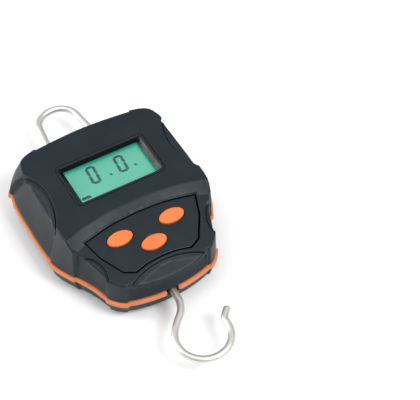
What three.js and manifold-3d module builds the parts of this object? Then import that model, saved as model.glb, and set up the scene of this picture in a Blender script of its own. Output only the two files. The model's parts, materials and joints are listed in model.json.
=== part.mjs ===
// Digital fish scale: a two-part casing with a trim band between the halves, a backlit display,
// three press buttons, a load cell, a fixed hanger loop and a hook that turns on its shank.
// Millimetres, +Z up. The scale rests on its flat back, the hanger points to +Y, the hook to -Y.
import * as THREE from "three";
import { mergeVertices } from "three/addons/utils/BufferGeometryUtils.js";
import Module from "manifold-3d";

const wasm = await Module();
wasm.setup();

// ---- driving dimensions ----
const GAP = 0.3; // air between pieces that rest on each other
const DISPLAY_Y = 17.4; // centre of the display, which the casing is laid out from
const LINE_Z = 12.7; // height of the pull line: parting plane, hanger and hook
const BAND_HALF = 1.4; // half the height of the trim band
const BAND_PROUD = 1; // how far the band stands out of the casing
const PAD_PROUD = 1; // how far the corner pads stand out of the walls
const WALL = 2.4;
const FACE_Z = 39.3; // the flat face round the display
const SLOPE = THREE.MathUtils.degToRad(15.6); // fall of the button end of the face
const SLOPE_Y = -15.5; // where the sloping face is SLOPE_Z high
const SLOPE_Z = 35.2;
const BACK_SLOPE = THREE.MathUtils.degToRad(7.3); // rise of the back towards the hook
const BACK_SLOPE_Y = -7.6; // where the back starts to rise
const STEP_RADIUS = 112; // arc where the flat face drops, by a bevel, to the sloping one
const STEP_Y = -6; // its crown on the centre line
const BEVEL_FALL = 0.75; // fall of that bevel, per millimetre
const WIRE = 3.8; // stainless wire of the hanger and the hook
const LEG_X = 14.2; // hanger legs inside the casing
const ARCH_RADIUS = 11.2; // hanger arch, to the wire's middle
const ARCH_Y = 78.8;
const CROOK_RADIUS = 13.5; // hook crook, to the wire's middle
const CROOK_Y = -76.4;
const SHANK_TOP_Y = -8.6;
const TRAVEL = 1; // stroke of a button
const BUTTON_HALF = [6.7, 3.7]; // half width and half height of a button
const BUTTON_GAP = 0.35; // air round a button in its hole
const BUTTONS = { left: [-14.2, 4.8], middle: [0, -3.9], right: [14.2, 4.8] };
const CELL_RADIUS = 5.1; // AAA battery
const CELL_LENGTH = 44.5;
const CELL_Z = 8.6;
const CELLS = { inner: 22.4, outer: 33.4 };
const CELL_END_Y = -8.5;
const OPENING = { width: 42, near: 5.2, far: 28.1, flare: 2.1 }; // what shows of the display

// ---- materials ----
const finish = (color, roughness, metalness = 0) =>
  new THREE.MeshStandardMaterial({ color, roughness, metalness });
const casing = finish(0x343a41, 0.62);
const rubber = finish(0xe88a4e, 0.65);
const orange = finish(0xf08a4c, 0.5);
const steel = finish(0xc9c7c2, 0.3, 1);
const zinc = finish(0xb4b8ba, 0.4, 1);
const aluminium = finish(0xc4c8cc, 0.45, 1);
const board = finish(0x1f6b45, 0.5);
const chipBlack = finish(0x1c1d1f, 0.55);
const glass = finish(0xcfe9e0, 0.08);
const display = finish(0x6fc9ae, 0.25);
const lightGuide = finish(0xe9f2ea, 0.4);
const darkRubber = finish(0x202224, 0.8);
const cellWrap = finish(0x3f6f9e, 0.4);
const copper = finish(0xb87a4a, 0.4, 1);
const redWire = finish(0xb3332c, 0.5);
const blackWire = finish(0x202020, 0.5);

// ---- solids: three.js geometry in, three.js geometry out, joined and cut by manifold-3d ----
function solid(geometry) {
  const bare = geometry.clone();
  for (const name of Object.keys(bare.attributes)) {
    if (name !== "position") bare.deleteAttribute(name);
  }
  const merged = mergeVertices(bare, 1e-4);
  const mesh = new wasm.Mesh({
    numProp: 3,
    vertProperties: merged.attributes.position.array,
    triVerts: new Uint32Array(merged.index.array),
  });
  return new wasm.Manifold(mesh);
}

function geometryOf(made) {
  const mesh = made.getMesh();
  const vertices = new THREE.BufferAttribute(new Float32Array(mesh.vertProperties), 3);
  const geometry = new THREE.BufferGeometry();
  geometry.setAttribute("position", vertices);
  geometry.setIndex(new THREE.BufferAttribute(new Uint32Array(mesh.triVerts), 1));
  geometry.computeVertexNormals();
  return geometry;
}

const join = (first, ...rest) => rest.reduce((all, one) => all.add(one), first);
const cut = (first, ...rest) => rest.reduce((all, one) => all.subtract(one), first);

const root = new THREE.Group();
function place(name, made, material, parent = root) {
  const mesh = new THREE.Mesh(geometryOf(made), material);
  mesh.name = name;
  parent.add(mesh);
  return mesh;
}

function box(x0, x1, y0, y1, z0, z1) {
  const geometry = new THREE.BoxGeometry(x1 - x0, y1 - y0, z1 - z0);
  return solid(geometry.translate((x0 + x1) / 2, (y0 + y1) / 2, (z0 + z1) / 2));
}

function post(x, y, radius, z0, z1, sides = 20) {
  const geometry = new THREE.CylinderGeometry(radius, radius, z1 - z0, sides);
  return solid(geometry.rotateX(Math.PI / 2).translate(x, y, (z0 + z1) / 2));
}

// A round bar along Y, or a hexagon with sides = 6.
function bar(x, z, radius, y0, y1, sides = 20) {
  const geometry = new THREE.CylinderGeometry(radius, radius, y1 - y0, sides);
  return solid(geometry.translate(x, (y0 + y1) / 2, z));
}

const shapeOf = (points) => new THREE.Shape(points.map(([x, y]) => new THREE.Vector2(x, y)));
function prism(points, z0, z1) {
  const geometry = new THREE.ExtrudeGeometry(shapeOf(points), { depth: z1 - z0, bevelEnabled: false });
  return solid(geometry.translate(0, 0, z0));
}

// A profile of [y, z] points carried across the casing from x0 to x1.
function across(points, x0, x1) {
  const geometry = new THREE.ExtrudeGeometry(shapeOf(points), { depth: x1 - x0, bevelEnabled: false });
  const turn = new THREE.Matrix4().makeBasis(
    new THREE.Vector3(0, 1, 0), new THREE.Vector3(0, 0, 1), new THREE.Vector3(1, 0, 0));
  return solid(geometry.applyMatrix4(turn).translate(x0, 0, 0));
}

// A wall between two outlines that have the same number of points.
function loft(lower, upper, z0, z1) {
  const geometry = new THREE.ExtrudeGeometry(shapeOf(lower), { depth: z1 - z0, bevelEnabled: false });
  const key = (x, y) => x.toFixed(3) + "," + y.toFixed(3);
  const partner = new Map(lower.map(([x, y], i) => [key(x, y), upper[i]]));
  const at = geometry.attributes.position;
  for (let i = 0; i < at.count; i++) {
    if (at.getZ(i) < (z1 - z0) / 2) continue;
    const [x, y] = partner.get(key(at.getX(i), at.getY(i)));
    at.setXY(i, x, y);
  }
  return solid(geometry.translate(0, 0, z0));
}

function oval(a, b, x = 0, y = 0, sides = 28) {
  const points = [];
  for (let i = 0; i < sides; i++) {
    const t = (i / sides) * 2 * Math.PI;
    points.push([x + a * Math.cos(t), y + b * Math.sin(t)]);
  }
  return points;
}

function rectangle(width, depth, x = 0, y = 0) {
  return [[x - width / 2, y - depth / 2], [x + width / 2, y - depth / 2],
    [x + width / 2, y + depth / 2], [x - width / 2, y + depth / 2]];
}

function tube(curve, radius, steps, sides = 10) {
  const section = shapeOf(oval(radius, radius, 0, 0, sides));
  return solid(new THREE.ExtrudeGeometry(section, { steps, extrudePath: curve, bevelEnabled: false }));
}

// ---- the casing's outline: half of it, x and y at the parting plane, then at face height ----
const HALF = [
  [0, 54.2, 0, 49.8], [25.5, 52.6, 24, 48.1], [32, 51.7, 28.6, 47.2], [41, 48.6, 35.4, 44.3],
  [44.1, 40.9, 38.2, 37.9], [45.1, 18.4, 39.2, 18.4], [44.3, -0.5, 39.2, -1.5], [42.4, -8, 38.9, -9.5],
  [39.5, -14, 37.7, -15.2], [33.3, -26, 32.6, -26.6], [28.9, -37, 28, -36.9], [23.4, -42.4, 22.4, -41.8],
  [12.5, -45.6, 12, -44.6], [0, -46.6, 0, -45.6],
];
const LEVEL_LOW = LINE_Z + BAND_HALF + GAP;
const LEVEL_FACE = 37;
const SAMPLES = 78;

// level 0 is the parting plane and 1 is face height. grow moves the outline out along its own normal;
// shrink draws it in towards the middle of the casing, which keeps its corners clean at larger amounts.
const MIDDLE_Y = 3.8;
function outline(level, grow = 0, shrink = 0) {
  const right = HALF.map(([x, y, faceX, faceY]) => [
    THREE.MathUtils.lerp(x, faceX, level), THREE.MathUtils.lerp(y, faceY, level)]);
  const left = right.slice(1, -1).reverse().map(([x, y]) => [-x, y]);
  const knots = [...right, ...left].map(([x, y]) => new THREE.Vector3(x, y, 0));
  const curve = new THREE.CatmullRomCurve3(knots, true, "centripetal");
  const points = [];
  for (let i = 0; i < SAMPLES; i++) {
    const t = i / SAMPLES;
    const along = curve.getTangent(t);
    const at = curve.getPoint(t);
    const [x, y] = [at.x - along.y * grow, at.y + along.x * grow];
    points.push([x * (1 - shrink / 43), MIDDLE_Y + (y - MIDDLE_Y) * (1 - shrink / 50)]);
  }
  return points.reverse();
}

// Where the pads are: two at the hanger corners, two at the shoulders, two at the hook end. The
// edge of a hanger pad, as y and z, curves towards the hanger as it goes down the front wall. The
// pad on the rear wall, under REAR_TOP, is longer.
const REAR_TOP = LINE_Z - BAND_HALF - GAP;
const hangerPadSide = [[38.5, -5], [38.5, REAR_TOP], [45.1, REAR_TOP], [45.1, 14.8], [44.6, 18],
  [43.5, 21.9], [40.5, 27.7], [37.3, 32.9], [33.6, 38.4], [33.6, 60], [70, 60], [70, -5]];
const hangerPad = across(hangerPadSide, 26.5, 60);
const padHalf = join(hangerPad, box(30, 60, -17.7, -2, -5, 60), box(21.8, 60, -60, -34.9, -5, 60));
const padZones = join(padHalf, padHalf.mirror([1, 0, 0]));
const withPads = (make) => join(make(0), make(PAD_PROUD).intersect(padZones));

const slopeAt = (y) => SLOPE_Z + (y - SLOPE_Y) * Math.tan(SLOPE);

function circle(x, y, radius, z0, z1, sides = 96) {
  return post(x, y, radius, z0, z1, sides);
}

// Everything under the face, lowered by drop.
function underFace(drop) {
  const slope = across([[-70, 0], [70, 0], [70, slopeAt(STEP_Y) - drop], [STEP_Y, slopeAt(STEP_Y) - drop],
    [-70, slopeAt(-70) - drop]], -60, 60);
  const bevelDepth = 20;
  const bevel = new THREE.CylinderGeometry(
    STEP_RADIUS, STEP_RADIUS - bevelDepth / BEVEL_FALL, bevelDepth, 160);
  bevel.rotateX(Math.PI / 2).translate(0, STEP_Y - STEP_RADIUS, FACE_Z - drop - bevelDepth / 2);
  const beyondStep = cut(box(-60, 60, -40, 70, 20, FACE_Z - drop), solid(bevel));
  return join(slope, beyondStep);
}

// ---- the front shell ----
const SIDE_SCOOP = { radius: 36, edgeX: 33.7, y: DISPLAY_Y - 1 };
const CORNER_SCOOP = { radius: 12.9, x: 40.9, y: -32.2, depth: 0.9, fall: 0.16 };
const HOOK_SCOOP = { radius: 42, edgeY: -38.1, half: 24 };

function scoops() {
  const { radius, edgeX, y } = SIDE_SCOOP;
  const fall = prism([[edgeX - 1, -38.9], [60, -24.4], [60, -60], [edgeX - 1, -60]], -9, 43);
  const sideFloor = solid(geometryOf(fall).rotateX(-Math.PI / 2));
  const side = circle(edgeX + radius, y, radius, 20, 60, 140).intersect(sideFloor);
  const corner = circle(CORNER_SCOOP.x, CORNER_SCOOP.y, CORNER_SCOOP.radius, 10, 60, 72)
    .intersect(cornerFloor());
  const hookFloor = across([[-36, slopeAt(-36) - 0.7], [-60, slopeAt(-60) - 3.4], [-60, 60], [-36, 60]],
    -HOOK_SCOOP.half, HOOK_SCOOP.half);
  const hookEnd = circle(0, HOOK_SCOOP.edgeY - HOOK_SCOOP.radius, HOOK_SCOOP.radius, 10, 60, 140)
    .intersect(hookFloor);
  const mirrored = (made) => made.mirror([1, 0, 0]);
  return [side, mirrored(side), corner, mirrored(corner), hookEnd];
}

// The floor of a small scoop follows the sloping face and falls away towards the wall.
function cornerFloor() {
  const { depth, fall } = CORNER_SCOOP;
  const startX = 29;
  const above = across([[-60, slopeAt(-60) - depth], [0, slopeAt(0) - depth], [0, 70], [-60, 70]], 20, 60);
  const lean = new THREE.Matrix4().makeShear(0, -fall, 0, 0, 0, 0);
  return solid(geometryOf(above).translate(-startX, 0, 0).applyMatrix4(lean).translate(startX, 0, 0));
}

const SCREWS = [[31, 42.6], [28.5, -17], [19.5, -35.5]].flatMap(([x, y]) => [[x, y], [-x, y]]);
const BOARD_SCREWS = [[26.5, 37.9], [-26.5, 37.9], [26.5, -3.7], [-26.5, -3.7]];
const BOARD_Z = 24.3; // underside of the main board
const BOARD_THICK = 1.6;
const CEILING = 2.3; // thickness of the face

// The button panel lies in its own tilted frame: u across, v up the slope, w out of the face.
const PANEL_Y = -25;
const PANEL_FLOOR = -3;
const PANEL_RECESS_GAP = 0.5;
const panelFrame = new THREE.Matrix4().makeTranslation(0, PANEL_Y, slopeAt(PANEL_Y))
  .multiply(new THREE.Matrix4().makeRotationX(SLOPE));
const tilted = (made) => solid(geometryOf(made).applyMatrix4(panelFrame));
const PANEL_HALF = [28, 12.5]; // its half width and half height, near enough to grow it evenly

function panelOutline(grow = 0) {
  const at = ([u, v]) => new THREE.Vector3(u, v);
  const top = new THREE.CatmullRomCurve3([[0, 13.7], [15, 12.8], [30, 9.9]].map(at));
  const side = [[27, 0], [20.4, -11.2]].map(at);
  const foot = new THREE.CatmullRomCurve3([[15, -13.6], [8, -11.9], [0, -11.3]].map(at));
  const half = [...top.getPoints(6), ...side, ...foot.getPoints(5)];
  const points = half.map((p) => [p.x * (1 + grow / PANEL_HALF[0]), p.y * (1 + grow / PANEL_HALF[1])]);
  return [...points, ...points.slice(1, -1).reverse().map(([u, v]) => [-u, v])].reverse();
}

// The shell's top reaches a little over face height, where the face then trims it.
const FACE_LEVEL = 1.1;
const FACE_TOP = LEVEL_FACE + 2.3;
const CEILING_SHRINK = 5.6; // how far the cavity has drawn in where it meets the ceiling

const buttonHole = ([u, v], w0, w1) =>
  prism(oval(BUTTON_HALF[0] + BUTTON_GAP, BUTTON_HALF[1] + BUTTON_GAP, u, v), w0, w1);

function frontShell() {
  const walls = (grow) => loft(outline(0, grow), outline(FACE_LEVEL, grow), LEVEL_LOW, FACE_TOP);
  const outer = withPads(walls).intersect(underFace(0));
  const inner = loft(outline(0, 0, WALL), outline(1, 0, CEILING_SHRINK), LEVEL_LOW - 1, LEVEL_FACE + 1);
  const tray = tilted(prism(panelOutline(2.2), -4.6, -0.5)).intersect(outer);
  const bosses = [
    ...SCREWS.map(([x, y]) => post(x, y, 3.4, LEVEL_LOW + GAP, 36)),
    ...BOARD_SCREWS.map(([x, y]) => post(x, y, 2.1, BOARD_Z + BOARD_THICK + GAP, 38)),
  ].map((one) => one.intersect(outer));
  const shell = join(cut(outer, inner.intersect(underFace(CEILING))), tray, ...bosses);
  const recess = tilted(prism(panelOutline(PANEL_RECESS_GAP), PANEL_FLOOR, 5));
  const { width, near, far, flare } = OPENING;
  const openingAt = (wider, longer) => rectangle(width + wider, far - near + longer, 0, (near + far) / 2);
  const displayCut = loft(openingAt(0, 0), openingAt(2 * flare, flare), 36, FACE_Z + 0.2);
  const buttonHoles = Object.values(BUTTONS).map((at) => tilted(buttonHole(at, -6, 1)));
  const bores = [
    ...SCREWS.map(([x, y]) => post(x, y, 1.6, 10, 25, 12)),
    ...BOARD_SCREWS.map(([x, y]) => post(x, y, 1.3, 20, 33, 10)),
  ];
  return cut(shell, recess, ...scoops(), displayCut, ...buttonHoles, ...bores, ...wireHoles());
}

// The bush round the hook's shank: a neck in the outlet and a wider body behind the wall.
const BUSH = { radius: 3.7, neck: 2.7, noseY: -46.8, shoulderY: -44.6, tailY: -41.6 };

// Holes for the hanger legs and the hook shank, shared by both shells and the band.
function wireHoles() {
  const bushHole = bar(0, LINE_Z, BUSH.radius + 0.4, BUSH.shoulderY - GAP, -41);
  const outlet = bar(0, LINE_Z, BUSH.neck + GAP, -60, -41);
  return [bar(-LEG_X, LINE_Z, 4.3, 46, 70), bar(LEG_X, LINE_Z, 4.3, 46, 70), bushHole, outlet];
}

// ---- the rear shell ----
const HATCH = { x0: 17.3, x1: 37.7, y0: -9.7, y1: 37.4 };
const EAR = { x0: 19, x1: 26, y1: 44.6 };
const HATCH_SCREW = [22.5, 41.2];

const CHAMFER_Z = 3.2; // top of the chamfer round the back
const WALL_LEAN = 1.4; // how far the wall has drawn in there, and the back's edge below it
const CHAMFER_LEAN = 5.2;

// lift raises the back and shrink draws the walls in, for the cavity.
function rearOuter(shrink, lift) {
  const wall = (grow) => join(
    loft(outline(0, grow, shrink + WALL_LEAN), outline(0, grow, shrink), CHAMFER_Z, REAR_TOP),
    loft(outline(0, grow, shrink + CHAMFER_LEAN), outline(0, grow, shrink + WALL_LEAN), 0, CHAMFER_Z));
  const rise = (y) => (BACK_SLOPE_Y - y) * Math.tan(BACK_SLOPE);
  const back = [[-70, rise(-70) + lift], [BACK_SLOPE_Y, lift], [70, lift], [70, 30], [-70, 30]];
  const above = across(back, -60, 60);
  return join(wall(0), wall(PAD_PROUD).intersect(padZones)).intersect(above);
}

function rearShell() {
  const outer = rearOuter(0, 0);
  const cavity = join(rearOuter(WALL, WALL), loft(outline(0, 0, WALL), outline(0, 0, WALL), 9, 12));
  const screwTube = ([x, y]) =>
    join(post(x, y, 4.2, 0, REAR_TOP), post(x, y, 2.5, 5, LEVEL_LOW));
  const room = join(outer, box(-40, 40, -40, 47, 8, 20));
  const boss = box(19.4, 25.9, 38.4, 53, 2.7, 8.8).intersect(outer);
  const bays = cut(box(16.7, 39.2, -13.4, 37.4, 2, 7), box(17.1, 38.8, -13, 37, 1, 8)).intersect(outer);
  const tubes = SCREWS.map((at) => screwTube(at).intersect(room));
  const shell = join(cut(outer, cavity), ...tubes, boss, bays);
  const floorCut = join(
    box(HATCH.x0 - GAP, HATCH.x1 + GAP, HATCH.y0 - GAP, HATCH.y1 + GAP, -1, 2.6),
    box(EAR.x0 - GAP, EAR.x1 + GAP, HATCH.y1 - 1, EAR.y1 + GAP, -1, 2.6));
  const bores = SCREWS.flatMap(([x, y]) => [post(x, y, 1.6, -1, 20, 12), post(x, y, 2.9, -1, 4.9, 16)]);
  return cut(shell, floorCut, ...bores, post(...HATCH_SCREW, 1.5, 2, 8, 12), ...wireHoles());
}

// ---- the trim band: a ring that grips the hanger legs and stops either side of the hook ----
function trimBand() {
  const [low, high] = [LINE_Z - BAND_HALF, LINE_Z + BAND_HALF];
  const edge = (grow) => outline(0, BAND_PROUD + grow);
  const ring = withPads((grow) => loft(edge(grow), edge(grow), low, high));
  const collars = [-LEG_X, LEG_X].map((x) => bar(x, LINE_Z, 4, 50.4, 55.2));
  const legHoles = [-LEG_X, LEG_X].map((x) => bar(x, LINE_Z, WIRE / 2 + GAP, 45, 60));
  const inside = loft(outline(0, 0, 3.6), outline(0, 0, 3.6), low - 4, high + 4);
  return cut(join(ring, ...collars), inside, ...legHoles, box(-3.1, 3.1, -60, -44.6, 0, 30),
    box(-4.4, 4.4, -46, -35, 0, 30));
}

place("front_shell", frontShell(), casing);
place("rear_shell", rearShell(), casing);
place("trim_band", trimBand(), rubber);

// ---- button panel, buttons, key switches and their board ----
const panel = new THREE.Group();
panelFrame.decompose(panel.position, panel.quaternion, panel.scale);
root.add(panel);

const FLANGE_TOP = -5;
const STEM_END = -8;
const SWITCH_TOP = STEM_END - TRAVEL - GAP;
const inlayHoles = Object.values(BUTTONS).map((at) => buttonHole(at, -4, 2));
place("button_panel", cut(prism(panelOutline(0), -2.7, -0.8), ...inlayHoles), casing, panel);
for (const [name, [u, v]] of Object.entries(BUTTONS)) {
  const cap = prism(oval(...BUTTON_HALF, u, v), FLANGE_TOP - 0.1, 0.6);
  const rim = oval(BUTTON_HALF[0] + 0.9, BUTTON_HALF[1] + 0.7, u, v);
  const flange = prism(rim, FLANGE_TOP - 1.2, FLANGE_TOP);
  const stem = post(u, v, 1.7, STEM_END, FLANGE_TOP - 1, 14);
  place("button_" + name, join(cap, flange, stem), orange, panel);
  const base = box(u - 3, u + 3, v - 3, v + 3, SWITCH_TOP - 3.5, SWITCH_TOP - 0.8);
  const plunger = post(u, v, 1.6, SWITCH_TOP - 1, SWITCH_TOP, 14);
  place("key_switch_" + name, join(base, plunger), chipBlack, panel);
}
const KEY_BOARD_TOP = SWITCH_TOP - 3.5 - GAP;
place("key_board", box(-20, 20, -9, 11, KEY_BOARD_TOP - 1.2, KEY_BOARD_TOP), board, panel);

// ---- display stack and main board ----
const [LCD_W, LCD_D] = [46, 30];
const slab = (width, back, front, z0, z1) =>
  box(-width / 2, width / 2, DISPLAY_Y - back, DISPLAY_Y + front, z0, z1);
place("display_window", slab(46.6, 14.2, 13, 35.6, 36.6), glass);
place("lcd_glass", slab(LCD_W, LCD_D / 2, LCD_D / 2, 33.6, 35.3), display);
place("backlight_guide", slab(LCD_W, 9.6, 14.8, 30.7, 33.3), lightGuide);
place("lcd_holder", cut(slab(52, 18, 18, 26.2, 35.3), slab(46.8, 15.4, 15.4, 20, 40)), chipBlack);
const stripZ = BOARD_Z + BOARD_THICK + GAP;
place("contact_strip", box(-20, 20, DISPLAY_Y - 14, DISPLAY_Y - 11.8, stripZ, 33.3), darkRubber);
const boardHoles = BOARD_SCREWS.map(([x, y]) => post(x, y, 1.3, 20, 30, 10));
const boardBlank = box(-28.6, 28.6, -6.5, 39.6, BOARD_Z, BOARD_Z + BOARD_THICK);
place("main_board", cut(boardBlank, ...boardHoles), board);
place("controller_chip", box(-5, 5, 20, 30, BOARD_Z - 1.6, BOARD_Z - GAP), chipBlack);
place("amplifier_chip", box(10, 15, 12, 16, BOARD_Z - 1.6, BOARD_Z - GAP), chipBlack);
const buzzerCan = post(-23, 12, 5.5, 18.6, BOARD_Z - GAP, 24);
place("buzzer", join(buzzerCan, post(-23, 12, 1, 18.2, 19, 12)), chipBlack);
BOARD_SCREWS.forEach(([x, y], i) => {
  const head = post(x, y, 2.2, BOARD_Z - GAP - 1.5, BOARD_Z - GAP, 12);
  place("board_screw_" + (i + 1), join(head, post(x, y, 0.95, BOARD_Z - 1, 32, 8)), zinc);
});

// ---- load cell, hanger and its yoke ----
function loadCell() {
  const body = [[-16, 3], [16, 3], [16, 9.2], [-8, 9.2], [-8, 10.8], [16, 10.8], [16, 32.4],
    [7, 32.4], [7, 37.5], [-7, 37.5], [-7, 32.4], [-16, 32.4], [-16, 26.8], [8, 26.8], [8, 25.2],
    [-16, 25.2]];
  const block = prism(body, 7.7, 17.7);
  const waist = join(post(-4.2, 18, 3.4, 0, 30), post(4.2, 18, 3.4, 0, 30), box(-4.2, 4.2, 17, 19, 0, 30));
  return cut(block, waist, bar(0, LINE_Z, 2.3, 28, 40), bar(0, LINE_Z, 2.3, 0, 9.4));
}
place("load_cell", loadCell(), aluminium);
for (const [name, y] of [["upper", 22.6], ["lower", 13.4]]) {
  place("strain_gauge_" + name, box(-3.4, 3.4, y - 1.7, y + 1.7, 18, 18.4), copper);
}

const hangerYoke = cut(box(-19, 19, 37.8, 43.3, 9.2, 16.2), bar(0, LINE_Z, 2.3, 30, 50),
  ...[-LEG_X, LEG_X].map((x) => bar(x, LINE_Z, WIRE / 2 + GAP, 30, 50)));
place("hanger_yoke", hangerYoke, zinc);
place("yoke_bolt", join(bar(0, LINE_Z, 3.8, 43.6, 46.6, 6), bar(0, LINE_Z, 2, 28.6, 44)), zinc);

const straight = (points) => points.map(([x, y]) => new THREE.Vector3(x, y, LINE_Z));
const LEG_END_Y = 33;
function hangerCurve() {
  const arch = [];
  for (let a = 0; a <= 180; a += 15) {
    const t = THREE.MathUtils.degToRad(a);
    arch.push([ARCH_RADIUS * Math.cos(t), ARCH_Y + ARCH_RADIUS * Math.sin(t)]);
  }
  const rightLeg = [[LEG_X, LEG_END_Y], [LEG_X, 41], [LEG_X, 49], [LEG_X, 56], [13.3, 63], [12.2, 71]];
  const leftLeg = rightLeg.map(([x, y]) => [-x, y]).reverse();
  return new THREE.CatmullRomCurve3(straight([...rightLeg, ...arch, ...leftLeg]), false, "centripetal");
}
place("hanger", tube(hangerCurve(), WIRE / 2, 56), steel);
for (const [name, x] of [["left", -LEG_X], ["right", LEG_X]]) {
  const nut = cut(bar(x, LINE_Z, 3.6, 34.3, 37.5, 6), bar(x, LINE_Z, WIRE / 2 + GAP, 30, 40));
  place("hanger_nut_" + name, nut, zinc);
}

// ---- hook, its swivel and the outlet bush ----
function hookCurve() {
  const shank = [[0, SHANK_TOP_Y], [0, -20], [0, -32], [0, -44], [0, -50], [-0.4, -54.6], [-2.6, -59.2],
    [-6.2, -63], [-9.6, -66.6]];
  const crook = [];
  for (let a = 156; a <= 362; a += 14) {
    const t = THREE.MathUtils.degToRad(a);
    crook.push([CROOK_RADIUS * Math.cos(t), CROOK_Y + CROOK_RADIUS * Math.sin(t)]);
  }
  const tip = [[13.7, -73.4], [15.2, -71.2], [17.1, -69.3]];
  return new THREE.CatmullRomCurve3(straight([...shank, ...crook, ...tip]), false, "centripetal");
}
function hook() {
  const end = hookCurve().getPoint(1);
  const ball = new THREE.SphereGeometry(WIRE / 2 - 0.02, 12, 8).translate(end.x, end.y, end.z);
  return join(tube(hookCurve(), WIRE / 2, 78), solid(ball));
}
place("hook", hook(), steel);
const onShank = (radius, y0, y1, sides) =>
  cut(bar(0, LINE_Z, radius, y0, y1, sides), bar(0, LINE_Z, WIRE / 2 + GAP, y0 - 1, y1 + 1));
place("hook_collar", onShank(4.3, -16.4, -12.4), zinc);
place("hook_nut", onShank(3.9, -12.1, -9, 6), zinc);
place("thrust_washer", onShank(4.5, -17.7, -16.7), copper);
const housing = cut(box(-8, 8, -22, 2.7, 7.7, 17.7), box(-5.5, 5.5, -18, -1.5, 0, 30),
  bar(0, LINE_Z, 2.4, -30, -10), bar(0, LINE_Z, 2.3, -3, 5));
place("swivel_housing", housing, aluminium);
place("housing_bolt", join(bar(0, LINE_Z, 3.6, -5, -1.8, 6), bar(0, LINE_Z, 2, -2, 8.8)), zinc);
const bush = join(bar(0, LINE_Z, BUSH.neck, BUSH.noseY, -43, 24),
  bar(0, LINE_Z, BUSH.radius, BUSH.shoulderY, BUSH.tailY, 24));
place("outlet_bush", cut(bush, bar(0, LINE_Z, WIRE / 2 + 0.4, -50, -40)), darkRubber);

// ---- batteries, contacts and their hatch ----
const CELL_TOP_Y = CELL_END_Y + CELL_LENGTH;

// A conical contact spring of three turns, wide at its plate and narrow at the cell.
function contactSpring(x) {
  const [turns, steps] = [3, 24];
  const coil = [];
  for (let i = 0; i <= steps; i++) {
    const share = i / steps;
    const t = share * turns * 2 * Math.PI;
    const radius = THREE.MathUtils.lerp(3.4, 2, share);
    const y = THREE.MathUtils.lerp(-11.5, -9.1, share);
    coil.push(new THREE.Vector3(x + radius * Math.cos(t), y, CELL_Z + radius * Math.sin(t)));
  }
  return tube(new THREE.CatmullRomCurve3(coil), 0.3, 2 * steps, 6);
}

for (const [name, x] of Object.entries(CELLS)) {
  const can = bar(x, CELL_Z, CELL_RADIUS, CELL_END_Y, CELL_TOP_Y - 0.9, 24);
  const nub = bar(x, CELL_Z, 2.6, CELL_TOP_Y - 1, CELL_TOP_Y, 12);
  place("battery_" + name, join(can, nub), cellWrap);
  place("battery_spring_" + name, contactSpring(x), zinc);
  place("positive_tab_" + name, box(x - 4.4, x + 4.4, CELL_TOP_Y + 0.3, CELL_TOP_Y + 0.7, 4, 13), zinc);
}
place("spring_plate", box(18, 36.9, -12.7, -12.2, 4, 11), zinc);

const HATCH_Z = [0.3, 2.1];
const plate = join(box(HATCH.x0, HATCH.x1, HATCH.y0, HATCH.y1, ...HATCH_Z),
  box(EAR.x0, EAR.x1, HATCH.y1 - 1, EAR.y1, ...HATCH_Z));
const grips = [-6.4, -4.4, -2.4, -0.4].map((y) => box(21.5, 33.5, y, y + 1, -1, 0.8));
const screwSeat = [post(...HATCH_SCREW, 1.5, -1, 5, 12), post(...HATCH_SCREW, 2.6, -1, 1.3, 16)];
place("battery_hatch", cut(plate, ...screwSeat, ...grips), casing);
const gasket = cut(box(18.3, 36.7, -8.7, 36.4, 2.4, 2.9), box(19.7, 35.3, -7.3, 35, 2, 4));
place("hatch_gasket", gasket, darkRubber);
const hatchScrew = join(post(...HATCH_SCREW, 2.2, 0.35, 1, 14), post(...HATCH_SCREW, 1.15, 0.6, 6.5, 10));
place("hatch_screw", hatchScrew, zinc);

// ---- case screws, cables ----
SCREWS.forEach(([x, y], i) => {
  place("case_screw_" + (i + 1), join(post(x, y, 2.5, 2.6, 4.6, 14), post(x, y, 1.25, 4, 23.5, 8)), zinc);
});
function lead(points, radius, steps) {
  const path = points.map((p) => new THREE.Vector3(...p));
  return tube(new THREE.CatmullRomCurve3(path, false, "centripetal"), radius, steps, 8);
}
const cellCable = [[-10, 13.4, 18.9], [-14, 13.4, 19.6], [-15.5, 20, 21], [-15, 27, 22.6], [-12, 30, 23.2]];
const redLead = [[28, 37.9, 11], [27.4, 37.6, 16], [25, 34, 20], [22, 30, 22.8]];
const blackLead = [[22, -15.2, 10], [21.5, -13, 17], [22, -8, 21], [22, -2, 22.9]];
place("load_cell_cable", lead(cellCable, 0.8, 16), blackWire);
place("battery_lead_red", lead(redLead, 0.6, 14), redWire);
place("battery_lead_black", lead(blackLead, 0.6, 14), blackWire);
const ribbonPath = [[-12.6, 23.3], [-9.6, 24.6], [-7.4, 26.3], [-4, 26.3]];
const ribbonTop = ribbonPath.map(([y, z]) => [y - 0.1, z + 0.3]).reverse();
place("key_ribbon", across([...ribbonPath, ...ribbonTop], -6, 6), copper);

export default root;
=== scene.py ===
# %% [markdown]
# # A digital fish scale
# A hand-held scale for anglers: a dark plastic casing about 92 mm wide, an orange rubber band
# between its halves, a backlit display, three rubber buttons, a wire loop to hold it by and a
# hook that the fish hangs from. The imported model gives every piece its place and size. Each cell
# below makes one finer piece to stand for a plain one, or one finish.

import json
import math

import bpy
import numpy as np
from mathutils import Matrix, Vector


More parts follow.
